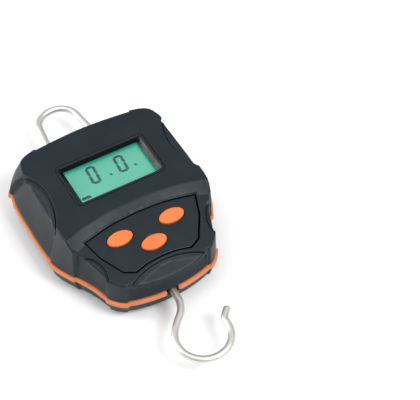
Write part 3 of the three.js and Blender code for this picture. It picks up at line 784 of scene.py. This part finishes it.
for name, (u, v) in BUTTONS.items():
    carve(front, stack("hole_" + name, [on_panel(oval(u, v, BUTTON_GAP), w) for w in (-6, 1)]))
print("panel outline", len(panel_plan()), "points")

# %% [markdown]
# ## Hollowing the front half
# The inside is a second, smaller half taken out of the first, then the display's window with a
# groove round it, and the holes for the wires. The window's walls lean outwards, so light falls
# on the display from above.

# %% Hollow it and open it
WALL = 2.4
CEILING = 2.3
WALL_AT_FACE = 5.9
LEG_X = 14.2


def ceiling(x, y):
    return face_height(x, y, scooped=False) - CEILING


inner_wall = front_wall(240, WALL, WALL_AT_FACE, proud=False)
hollow_shares = [0, 0.3, 0.6, 0.8, 0.9, 1]
hollow_rows = half_rows(inner_wall, ceiling, PART_HIGH, FACE_Z, hollow_shares,
                        steps=1.5, rounding=1, rest_rows=12)
below = hollow_rows[:1].copy()
below[..., 2] -= 2
carve(front, dome("hollow", np.vstack([below, hollow_rows]), PART_HIGH - 2))


def window_plan(width, depth, y, radius):
    x, half = width / 2, depth / 2
    return rounded([[-x, y - half], [x, y - half], [x, y + half], [-x, y + half]], radius)


# Width, depth, middle in y and corner radius, at the bottom and at the top.
WINDOW_LOW = (42.0, 22.9, 16.65, 0.5)
WINDOW_HIGH = (46.0, 24.85, 16.65, 1.0)


def window_ring(share, z, grow=0.0):
    width, depth, y, radius = (a + (b - a) * share for a, b in zip(WINDOW_LOW, WINDOW_HIGH))
    return at_height(window_plan(width + 2 * grow, depth + 2 * grow, y, radius + grow), z)


opening = [window_ring(0, 35.5), window_ring(0, 36.2), window_ring(1, FACE_Z - 0.25)] + [
    window_ring(1, FACE_Z + rise, outset) for outset, rise in quarter_round(0.25)[1:]] + [
    window_ring(1, FACE_Z + 0.05, 0.5), window_ring(1, 45, 0.5)]
carve(front, stack("opening", opening))
GROOVE = [(1.25, -0.45), (1.6, -0.45), (1.75, 0.5), (1.25, 0.5)]
carve(front, ring_solid("lip_groove", [window_ring(1, FACE_Z + z, out) for out, z in GROOVE]))


def lathe_rings(x, profile, count=64):
    """Circles round an axis along Y in the plane of the wires, through (radius, y) points."""
    turn = -np.arange(count) / count * 2 * math.pi
    return [[(x + r * math.cos(a), y, LINE_Z + r * math.sin(a)) for a in turn] for r, y in profile]


def rod(name, x, radius, y0, y1):
    """A plain round bar along Y, to cut a hole for a wire."""
    return stack(name, lathe_rings(x, [(radius, y0), (radius, y1)]))


def wire_holes():
    legs = [rod("leg_hole", x, 4.3, 46, 70) for x in (-LEG_X, LEG_X)]
    return [*legs, rod("bush_hole", 0, 4.1, -44.9, -40), rod("outlet", 0, 3, -60, -41)]


carve(front, *wire_holes())
smooth(front, 32)
dress(front, "casing", "casing_plastic", "front_shell")

# %% [markdown]
# ## The display
# Dark segments in a thin layer of liquid crystal lie over a plate that a green light guide
# lights from below. The plate glows a little, and it is lighter towards the lower left. Its upper
# and right edges are darker: painted shadow of the window's walls. The segments stand a fraction
# above it, and a faint second image of them lies on the plate, down and to the right: their painted
# shadow.

# %% The lit plate
# The first colour is painted shadow, where the window's upper and right walls shade the plate.
PLATE_SHADOWED_EDGE = (0.004, 0.25, 0.165)
PLATE_MIDDLE, PLATE_CORNER = (0.072, 0.315, 0.222), (0.078, 0.365, 0.255)
PLATE_GLOW = 0.4


def display_glow():
    material, tree, shader = new_material("display_plate")
    where = tree.nodes.new("ShaderNodeTexCoord")
    split = tree.nodes.new("ShaderNodeSeparateXYZ")
    tree.links.new(where.outputs["Object"], split.inputs["Vector"])

    def edge(axis, start, end):
        return map_range(tree, split.outputs[axis], start * MM, end * MM, soft=True)

    def product(a, b):
        multiply = tree.nodes.new("ShaderNodeMath")
        multiply.operation = "MULTIPLY"
        tree.links.new(a, multiply.inputs[0])
        tree.links.new(b, multiply.inputs[1])
        return multiply.outputs[0]

    # Painted shadow: the plate darkens along its upper and right edges, where the window's walls shade
    # it.
    out_of_painted_shadow = product(edge("Y", 28.4, 25.6), edge("X", 21.4, 18.8))
    corner = product(edge("X", 4, -22), edge("Y", 16, 6))
    inside = two_colours(tree, corner, PLATE_MIDDLE, PLATE_CORNER)
    colour = two_colours(tree, out_of_painted_shadow, PLATE_SHADOWED_EDGE, inside)
    tree.links.new(colour, shader.inputs["Base Color"])
    tree.links.new(colour, shader.inputs["Emission Color"])
    shader.inputs["Emission Strength"].default_value = PLATE_GLOW
    tree.links.new(between(tree, noise(tree, 0.2), 0.35, 0.45), shader.inputs["Roughness"])
    return material


def slab(name, low, high, radius, bevel):
    """A rounded plate with bevelled edges between two corners."""
    (x0, y0, z0), (x1, y1, z1) = low, high
    plan = rounded([[x0, y0], [x1, y0], [x1, y1], [x0, y1]], radius)
    profile = [(bevel, z0), (0, z0 + bevel), (0, z1 - bevel), (bevel, z1)]
    return layers(name, lambda d: inset(plan, d), profile)


def node_box(name):
    return [np.array(corner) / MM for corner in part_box(name)]


finishes["lcd"] = display_glow()
lcd_low, lcd_high = node_box("lcd_glass")
lcd = smooth(slab("lcd_plate", lcd_low, lcd_high, 0.8, 0.2))
dress(lcd, "casing", "lcd", "lcd_glass")

# %% [markdown]
# ## The digits
# Each digit is the usual seven-segment figure, leaning a little, of thin bars with pointed ends.
# The display shows two zeros, so six bars each are dark, with a point after each and a small
# battery bar in the corner. Bars are flat plates less than a tenth of a millimetre thick.

# %% Segments
INK_Z = lcd_high[2] + 0.04
INK_THICK = 0.08
SEGMENT = 0.95
SEGMENT_GAP = 0.16
LEAN = 0.07
# Middle in x and y, width and height of each digit.
DIGITS = {"tens": (-8.1, 20.5, 3.7, 10.4), "units": (7.3, 20.3, 3.9, 9.9)}


def bar_plan(start, end, width):
    start, end = np.array(start, float), np.array(end, float)
    along = (end - start) / np.linalg.norm(end - start)
    side = np.array([-along[1], along[0]]) * width / 2
    tip = along * width / 2
    return [start, start + tip - side, end - tip - side, end, end - tip + side, start + tip + side]


def segment_plans():
    plans = []
    for x, y, width, height in DIGITS.values():
        corner = {(i, j): (x + i * width / 2 + LEAN * j * height / 2, y + j * height / 2)
                  for i in (-1, 1) for j in (-1, 0, 1)}
        ends = [((-1, 1), (1, 1)), ((-1, -1), (1, -1)), ((-1, 0), (-1, 1)), ((-1, -1), (-1, 0)),
                ((1, 0), (1, 1)), ((1, -1), (1, 0))]
        for a, b in ends:
            start, end = np.array(corner[a]), np.array(corner[b])
            gap = (end - start) / np.linalg.norm(end - start) * SEGMENT * SEGMENT_GAP
            plans.append(bar_plan(start + gap, end - gap, SEGMENT))
    for x, y in ((-0.15, 16.5), (13.55, 16.2)):
        plans.append(circle(x, y, 0.5, 12))
    plans.append(rounded([[-19.8, 8.3], [-15.4, 8.3], [-15.4, 9.6], [-19.8, 9.6]], 0.2, 2))
    return plans


def ink(name, z, shift, grow, material):
    pieces = []
    for i, plan in enumerate(segment_plans()):
        plan = inset(np.asarray(plan, float) + shift, -grow)
        pieces.append(stack(f"{name}_{i}", [at_height(plan, z), at_height(plan, z + INK_THICK)]))
    with bpy.context.temp_override(active_object=pieces[0], selected_editable_objects=pieces):
        bpy.ops.object.join()
    pieces[0].name = name
    return dress(pieces[0], "casing", "lcd", material=material)


def ink_finish(name, colour, alpha):
    material = finish(name, (colour, [c * 1.2 for c in colour]), (0.3, 0.4), grain=(0.5, 0.005))
    material.node_tree.nodes["Principled BSDF"].inputs["Alpha"].default_value = alpha
    return material


# The faint copy of the digits, down and to the right, is a painted shadow of them on the plate.
painted_shadow_ink = ink_finish("segment_shadow", (0.03, 0.20, 0.16), 0.4)
dark = ink_finish("segment_ink", (0.004, 0.055, 0.060), 0.92)
ink("segment_shadows", INK_Z, (0.45, -0.35), 0.1, painted_shadow_ink)
ink("segments", INK_Z + 0.1, (0, 0), 0, dark)

# %% [markdown]
# ## The window
# A clear acrylic pane covers the display. A low alpha lets the display through and leaves a
# little of the gloss. A glass shader would bend the light and cost far more samples.

# %% The clear pane
def clear_pane():
    material, tree, shader = new_material("clear_acrylic")
    shader.inputs["Base Color"].default_value = (0.3, 0.4, 0.38, 1)
    shader.inputs["Alpha"].default_value = 0.03
    tree.links.new(between(tree, noise(tree, 8, 3), 0.04, 0.10), shader.inputs["Roughness"])
    tree.links.new(bump_of(tree, noise(tree, 12), 0.02), shader.inputs["Normal"])
    return material


finishes["clear_window"] = clear_pane()
window = smooth(slab("window_pane", *node_box("display_window"), 1.0, 0.15))
dress(window, "casing", "clear_window", "display_window")

# %% [markdown]
# ## The frame round the window
# A thin raised lip runs round the window and catches the light. Inside it a glossy black sheet
# lines the opening: painted shade, standing for the shadow that its walls lie in. Both are narrow
# rings: a section's corners, each carried round the opening's own outline.

# %% The window's lip
# (outset from the opening, height above the face) round the section.
lip_section = [(0.42, -0.6), (1.27, -0.6), (1.27, 0.10), (1.15, 0.24), (0.93, 0.30),
               (0.72, 0.30), (0.52, 0.24), (0.42, 0.10)]
lip = ring_solid("window_lip", [window_ring(1, FACE_Z + z, out) for out, z in lip_section])
dress(smooth(lip, 50), "casing", "casing_plastic")

# Painted shade: the glossy black sheet over the opening's walls stands for the shadow that they lie
# in.
black_lining = finish(
    "black_lining", ((0.0015, 0.0025, 0.003), (0.0025, 0.004, 0.0045)), (0.3, 0.4),
    grain=(0.3, 0.004), Specular_IOR_Level=0.25)
SHADE_SHEET_THICK = 0.18
SHADE_SHEET_LOW, SHADE_SHEET_HIGH = 36.7, FACE_Z - 0.35
shade_sheet_loops = [window_ring(0, SHADE_SHEET_LOW, 0.1), window_ring(1, SHADE_SHEET_HIGH, 0.1),
                window_ring(1, SHADE_SHEET_HIGH, -SHADE_SHEET_THICK), window_ring(0, SHADE_SHEET_LOW, -SHADE_SHEET_THICK)]
shade_sheet = ring_solid("window_lining", shade_sheet_loops[::-1])
dress(smooth(shade_sheet, 50), "casing", "casing_plastic", material=black_lining)

# %% [markdown]
# ## The button panel
# The inlay is a separate moulding, smoother than the casing, so it looks darker. Its edge is
# bevelled and three oval holes leave a thin gap round the buttons.

# %% The inlay
panel_plastic = finish(
    "smooth_plastic", ((0.0080, 0.0135, 0.0180), (0.0105, 0.0165, 0.0215)), (0.32, 0.40),
    grain=(0.3, 0.006), Specular_IOR_Level=0.24)
inlay = stack("panel_inlay", [on_panel(panel_plan(-d), w) for d, w in (
    (0.2, -2.7), (0, -2.5), (0, -1.15), (0.1, -0.9), (0.35, -0.8))])
for name, (u, v) in BUTTONS.items():
    hole = [(0, -4), (0, -1.1), (0.1, -0.9), (0.3, -0.78), (0.3, 1)]
    carve(inlay, stack("hole_" + name, [on_panel(oval(u, v, BUTTON_GAP + d), w) for d, w in hole]))
dress(smooth(inlay), "casing", "casing_plastic", "button_panel", material=panel_plastic)

# %% [markdown]
# ## The buttons
# Three moulded rubber caps. The top is nearly flat with a rounded edge, the skirt goes down
# through the panel, and a flange under it keeps the cap from falling out. A stem presses the
# switch. Each rides on its own body, so that it can be pressed.

# %% Three caps
FLANGE_TOP = -5.0
STEM_END = -8.0
STEM_RADIUS = 1.7


def cap_rings(u, v):
    stem = [(STEM_RADIUS - 0.3, STEM_END), (STEM_RADIUS, STEM_END + 0.3),
            (STEM_RADIUS, FLANGE_TOP - 1.2)]
    rings = [on_panel(circle(u, v, radius, CAP_SIDES), w) for radius, w in stem]
    flange = [(0.6, -1.2), (0.8, -1.0), (0.8, -0.2), (0.6, 0), (0, 0)]
    rings += [on_panel(oval(u, v, out), FLANGE_TOP + w) for out, w in flange]
    edge = [(0, -0.15), (-0.06, 0.12), (-0.24, 0.34), (-0.55, 0.48), (-0.95, 0.55), (-2.2, 0.6)]
    rings += [on_panel(oval(u, v, out), w) for out, w in edge]
    return rings


for name, (u, v) in BUTTONS.items():
    cap = smooth(stack("cap_" + name, cap_rings(u, v)), 40)
    dress(cap, name + "_button", "button_orange", "button_" + name)

# %% [markdown]
# ## The rear half
# The back is the same kind of half upside down. Its wall draws in slowly, then over a chamfer
# to the flat back, which rises a little towards the hook so that the hook clears the table.

# %% The rear half
BACK_SLOPE = math.radians(7.3)
BACK_SLOPE_Y = -7.6
CHAMFER_Z = 3.2
WALL_LEAN, CHAMFER_LEAN = 1.4, 5.2


def back_height(x, y):
    return np.clip((BACK_SLOPE_Y - y) * math.tan(BACK_SLOPE), 0, None)


def rear_wall(count, shrink=0.0, proud=True):
    plan, out = outline(0, count)

    def wall(z):
        z = np.asarray(z) * np.ones(count)
        lean = np.interp(z, [0, CHAMFER_Z, PART_LOW], [CHAMFER_LEAN, WALL_LEAN, 0])[:, None]
        at = drawn_in(plan, shrink + lean)
        return at + out * pads(at, z) if proud else at

    return wall


def floor_inside(x, y):
    return back_height(x, y) + WALL


# The rows run downwards here, so they are turned round for stack, which builds from below.
rear_rows = half_rows(rear_wall(AROUND), back_height, PART_LOW, -0.01, np.linspace(0, 1, 17),
                      steps=0.6, rounding=3, rest_rows=26)
rear = stack("rear_shell_fine", rear_rows[::-1], first=(*FACE_MIDDLE, 0),
             last=(*FACE_MIDDLE, PART_LOW))
inner_rows = half_rows(rear_wall(240, WALL, proud=False), floor_inside, PART_LOW, 0,
                       np.linspace(0, 1, 8), steps=2, rounding=1, rest_rows=8)
above = inner_rows[:1].copy()
above[..., 2] += 2
carve(rear, stack("hollow", np.vstack([above, inner_rows])[::-1],
                  first=(*FACE_MIDDLE, WALL), last=(*FACE_MIDDLE, PART_LOW + 2)))
print("rear half", len(rear.data.polygons), "faces")

# %% [markdown]
# ## Screws and hatch in the back
# Six screws hold the halves together, each deep in its own well, and a hatch closes the battery
# bay. The wells are posts joined on, then bored out from behind.

# %% Wells, bay and hatch opening
SCREWS = [(side * x, y) for x, y in ((31, 42.6), (28.5, -17), (19.5, -35.5)) for side in (1, -1)]
# The hatch's corners in x and y, and its ear's two sides and end.
HATCH = (17.3, -9.7, 37.7, 37.4)
EAR = (19.0, 26.0, 44.6)
HATCH_SCREW = (22.5, 41.2)


def turned(name, x, y, profile, count=64):
    """A solid of revolution on a vertical axis, through (radius, z) points from below."""
    return layers(name, lambda radius: circle(x, y, radius, count), profile)


def box_solid(name, x0, x1, y0, y1, z0, z1):
    plan = np.array([[x0, y0], [x1, y0], [x1, y1], [x0, y1]], float)
    return stack(name, [at_height(plan, z) for z in (z0, z1)])


def hatch_plan(grow=0.0, radius=1.2):
    x0, y0, x1, y1 = HATCH
    e0, e1, e2 = EAR
    corners = [[x0, y0], [x1, y0], [x1, y1], [e1, y1], [e1, e2], [e0, e2], [e0, y1], [x0, y1]]
    return inset(rounded(corners, [radius, radius, radius, 0.6, radius, radius, 0.3, 0.5]), -grow)


for i, (x, y) in enumerate(SCREWS):
    foot = float(back_height(x, np.array(y))) + 1.5
    carve(rear, turned(f"well_{i}", x, y, [(4.2, foot), (4.2, PART_LOW - 0.5)]), how="UNION")
carve(rear, box_solid("hatch_boss", 19.4, 25.9, 38.4, 46, 1.5, 8.8), how="UNION")
HATCH_GAP = 0.3
opening_profile = [(0.25, -1), (0.25, 0), (0, 0.25), (0, 2.6)]
carve(rear, layers("hatch_opening", lambda d: hatch_plan(HATCH_GAP + d), opening_profile))
for i, (x, y) in enumerate(SCREWS):
    foot = float(back_height(x, np.array(y)))
    well = [(3.4, foot - 1), (3.2, foot), (2.9, foot + 0.35), (2.9, 4.9)]
    carve(rear, turned(f"bore_{i}", x, y, well))
    carve(rear, turned(f"bolt_hole_{i}", x, y, [(1.6, 3), (1.6, 20)], 32))
carve(rear, turned("hatch_bolt_hole", *HATCH_SCREW, [(1.5, 2), (1.5, 12)], 32))
carve(rear, *wire_holes())
smooth(rear, 32)
dress(rear, "casing", "casing_plastic", "rear_shell")

# %% [markdown]
# ## The battery hatch
# A flat plate with an ear for its screw and four finger grooves. It is stacked from insets of
# its outline, for a rounded edge, and the grooves are cut with round-ended bars.

# %% The hatch
def groove_plan(y, grow=0.0):
    return rounded([[21.5 - grow, y - grow], [33.5 + grow, y - grow],
                    [33.5 + grow, y + 1 + grow], [21.5 - grow, y + 1 + grow]], 0.45 + grow)


hatch_profile = [(0.35, 0.3), (0.1, 0.42), (0, 0.7), (0, 2.1)]
hatch = layers("hatch_plate", lambda d: hatch_plan(-d), hatch_profile)
groove_profile = [(0.2, -1), (0.2, 0.3), (0, 0.5), (0, 0.9)]
for y in (-6.4, -4.4, -2.4, -0.4):
    carve(hatch, layers("groove", lambda d: groove_plan(y, d), groove_profile))
seat_profile = [(2.8, -1), (2.8, 0.4), (2.6, 0.6), (2.6, 1.3), (1.5, 1.31), (1.5, 5)]
carve(hatch, turned("seat", *HATCH_SCREW, seat_profile))
dress(smooth(hatch), "hatch", "casing_plastic", "battery_hatch")

# %% [markdown]
# ## Screw heads
# Pan heads with a cross recess. Each is turned from a profile, head down, with its shank, and
# two crossed blades cut the recess.

# %% Screws
BLADE_HALF, BLADE_LENGTH = 0.13, 0.55


def screw(name, x, y, head, head_z, shank, shank_end):
    low, high = head_z
    profile = [(head * 0.55, low), (head * 0.8, low + 0.08), (head * 0.95, low + 0.25),
               (head, low + 0.45), (head, high - 0.05), (head - 0.05, high), (shank, high),
               (shank, shank_end - 0.6), (shank * 0.5, shank_end)]
    made = turned(name, x, y, profile, 48)
    long, thin = head * BLADE_LENGTH, head * BLADE_HALF
    for half_x, half_y in ((long, thin), (thin, long)):
        carve(made, box_solid("blade", x - half_x, x + half_x, y - half_y, y + half_y,
                              low - 1, low + (high - low) * 0.55))
    return smooth(made)


for i, (x, y) in enumerate(SCREWS):
    case_screw = screw(f"case_screw_fine_{i + 1}", x, y, 2.5, (2.6, 4.6), 1.25, 23.5)
    dress(case_screw, "casing", "zinc_steel", f"case_screw_{i + 1}")
hatch_screw = screw("hatch_screw_fine", *HATCH_SCREW, 2.2, (0.35, 1.25), 1.15, 6.5)
dress(hatch_screw, "hatch", "zinc_steel", "hatch_screw")

# %% [markdown]
# ## The band
# An elastomer band is clamped between the halves. Its section is a bar with a rounded outer
# edge, carried round the outline from one side of the hook to the other. The section shrinks
# over the last two millimetres, which rounds the ends. Two collars grip the hanger's legs.

# %% The band
BAND_PROUD = 1.0
BAND_FOOT, BAND_AXIS = -2.6, -0.6
MOUTH = 3.1
END_STEPS, END_SIZE = 5, 0.65


def band_path(count=900):
    plan, out = outline(0, count)
    keep = ~((np.abs(plan[:, 0]) < MOUTH) & (plan[:, 1] < 0))
    start = int(np.flatnonzero(keep & ~np.roll(keep, 1))[0])
    order = np.roll(np.arange(count), -start)
    order = order[: int(keep.sum())]
    return plan[order], out[order]


def band_section(corner=0.75, steps=5):
    """(outset, height) round the section, from the inner foot out, up and back."""
    foot = [(BAND_FOOT, BAND_LOW), (0, BAND_LOW)]
    lower = [(BAND_PROUD - corner * (1 - math.sin(a)), BAND_LOW + corner * (1 - math.cos(a)))
             for a in np.linspace(0, math.pi / 2, steps)]
    upper = [(out, BAND_LOW + BAND_HIGH - z) for out, z in lower[::-1]]
    return foot + lower + upper + [(0, BAND_HIGH), (BAND_FOOT, BAND_HIGH)]


def make_band():
    plan, out = band_path()
    section = np.array(band_section())
    swell = pads(plan, LINE_Z)[:, 0]
    rings = []
    for k in range(len(plan)):
        from_end = min(k, len(plan) - 1 - k)
        size = math.sqrt(1 - (1 - min(from_end / END_STEPS, 1)) ** 2) * (1 - END_SIZE) + END_SIZE
        outset = section[:, 0] + swell[k] * (section[:, 0] > -0.5)
        outset = BAND_AXIS + (outset - BAND_AXIS) * size
        z = LINE_Z + (section[:, 1] - LINE_Z) * size
        rings.append(np.column_stack([plan[k] + out[k] * outset[:, None], z]))
    return stack("band", rings)


band = make_band()
collar_profile = [(3.4, 50.4), (3.8, 50.6), (4, 51), (4, 54.4), (3.8, 54.9), (3.3, 55.2)]
for x in (-LEG_X, LEG_X):
    carve(band, stack("collar", lathe_rings(x, collar_profile)), how="UNION")
    carve(band, rod("leg_hole", x, 2.2, 45, 60))
dress(smooth(band, 40), "casing", "trim_rubber", "trim_band")

# %% [markdown]
# ## Wire: the hanger and the hook
# Both are bent from 3.8 mm stainless wire. A circle carried along a smooth curve makes them.
# Because each lies in one plane, the circle's own up direction is always +Z, so the tube never
# twists. The hook's tip is rounded off in a half ball.

# %% Bend the wire
WIRE_RADIUS = 1.9


def wire_tube(name, path, round_end=False, sides=32):
    path = np.asarray(path, float)
    along = np.gradient(path, axis=0)
    along /= np.linalg.norm(along, axis=1)[:, None]
    side = np.stack([along[:, 1], -along[:, 0]], 1)
    turn = np.arange(sides) / sides * 2 * math.pi
    radii = np.full(len(path), WIRE_RADIUS)
    if round_end:
        left = np.linalg.norm(path - path[-1], axis=1)
        near = left < WIRE_RADIUS
        radii[near] = np.sqrt(np.clip(WIRE_RADIUS**2 - (WIRE_RADIUS - left[near]) ** 2, 0.02, None))
    rings = []
    for at, across, radius in zip(path, side, radii):
        plan = at + across * (radius * np.cos(turn))[:, None]
        rings.append(np.column_stack([plan, LINE_Z - radius * np.sin(turn)]))
    return stack(name, rings)


def arc(x, y, radius, start, stop, step):
    return [[x + radius * math.cos(math.radians(a)), y + radius * math.sin(math.radians(a))]
            for a in range(start, stop + 1, step)]


def along_curve(knots, count):
    return smooth_curve(knots, even_steps(np.array(knots, float), count, False), False)


right_leg = [[14.2, 33], [14.2, 41], [14.2, 49], [14.2, 56], [13.3, 63], [12.2, 71]]
left_leg = [[-x, y] for x, y in right_leg[::-1]]
hanger_knots = right_leg + arc(0, 78.8, 11.2, 0, 180, 15) + left_leg
hanger = wire_tube("hanger_loop", along_curve(hanger_knots, 340))
dress(smooth(hanger, 60), "casing", "wire_steel", "hanger")

shank = [[0, -8.6], [0, -20], [0, -32], [0, -44], [0, -50], [-0.4, -54.6], [-2.6, -59.2],
         [-6.2, -63], [-9.6, -66.6]]
tip = [[13.7, -73.4], [15.2, -71.2], [17.1, -69.3]]
hook_path = along_curve(shank + arc(0, -76.4, 13.5, 156, 362, 14) + tip, 420)
overrun = hook_path[-1] + (hook_path[-1] - hook_path[-2]) / np.linalg.norm(
    hook_path[-1] - hook_path[-2]) * np.linspace(0.1, WIRE_RADIUS - 0.05, 14)[:, None]
hook = wire_tube("hook_wire", np.vstack([hook_path, overrun]), round_end=True)
dress(smooth(hook, 60), "hook_body", "wire_steel", "hook")

# %% [markdown]
# ## The hook's outlet
# A black rubber bush fills the hole where the hook's shank leaves the casing. It is stepped: a
# wide collar held behind the wall, and a narrow neck that shows in the band's mouth.

# %% The bush
bush_outside = [(2.45, -46.8), (2.62, -46.7), (2.7, -46.5), (2.7, -44.6), (3.6, -44.6),
                (3.7, -44.5), (3.7, -41.6)]
bush_bore = [(2.3, -41.6), (2.3, -46.6)]
bush = ring_solid("outlet_bush_fine", lathe_rings(0, bush_outside + bush_bore))
dress(smooth(bush, 50), "casing", "black_rubber", "outlet_bush")

# %% [markdown]
# ## Everything inside
# The load cell, batteries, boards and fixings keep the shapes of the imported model, which are
# right as they are. Each takes the finish of its own slot.

# %% Finish what stays
shown = [node for node in frame["nodes"].values() if not node.hide_render]
for node in shown:
    node.data.materials.clear()
    node.data.materials.append(finishes[record_slots[node.name]])
print("nodes that keep their shape", len(shown))

# %% [markdown]
# ## The floor
# A pale sheet just under the scale, six metres across, so its edge shows only from very low down.

# %% The floor
floor_plan = circle(0, 0, 3000, 64)
floor = stack("floor", [at_height(floor_plan, z) for z in (-2.2, -0.02)])
floor.data.materials.append(finish(
    "pale_paper", ((0.88, 0.88, 0.88), (0.90, 0.90, 0.90)), (0.7, 0.8), grain=(0.6, 0.01),
    patch_mm=60, Specular_IOR_Level=0.2))
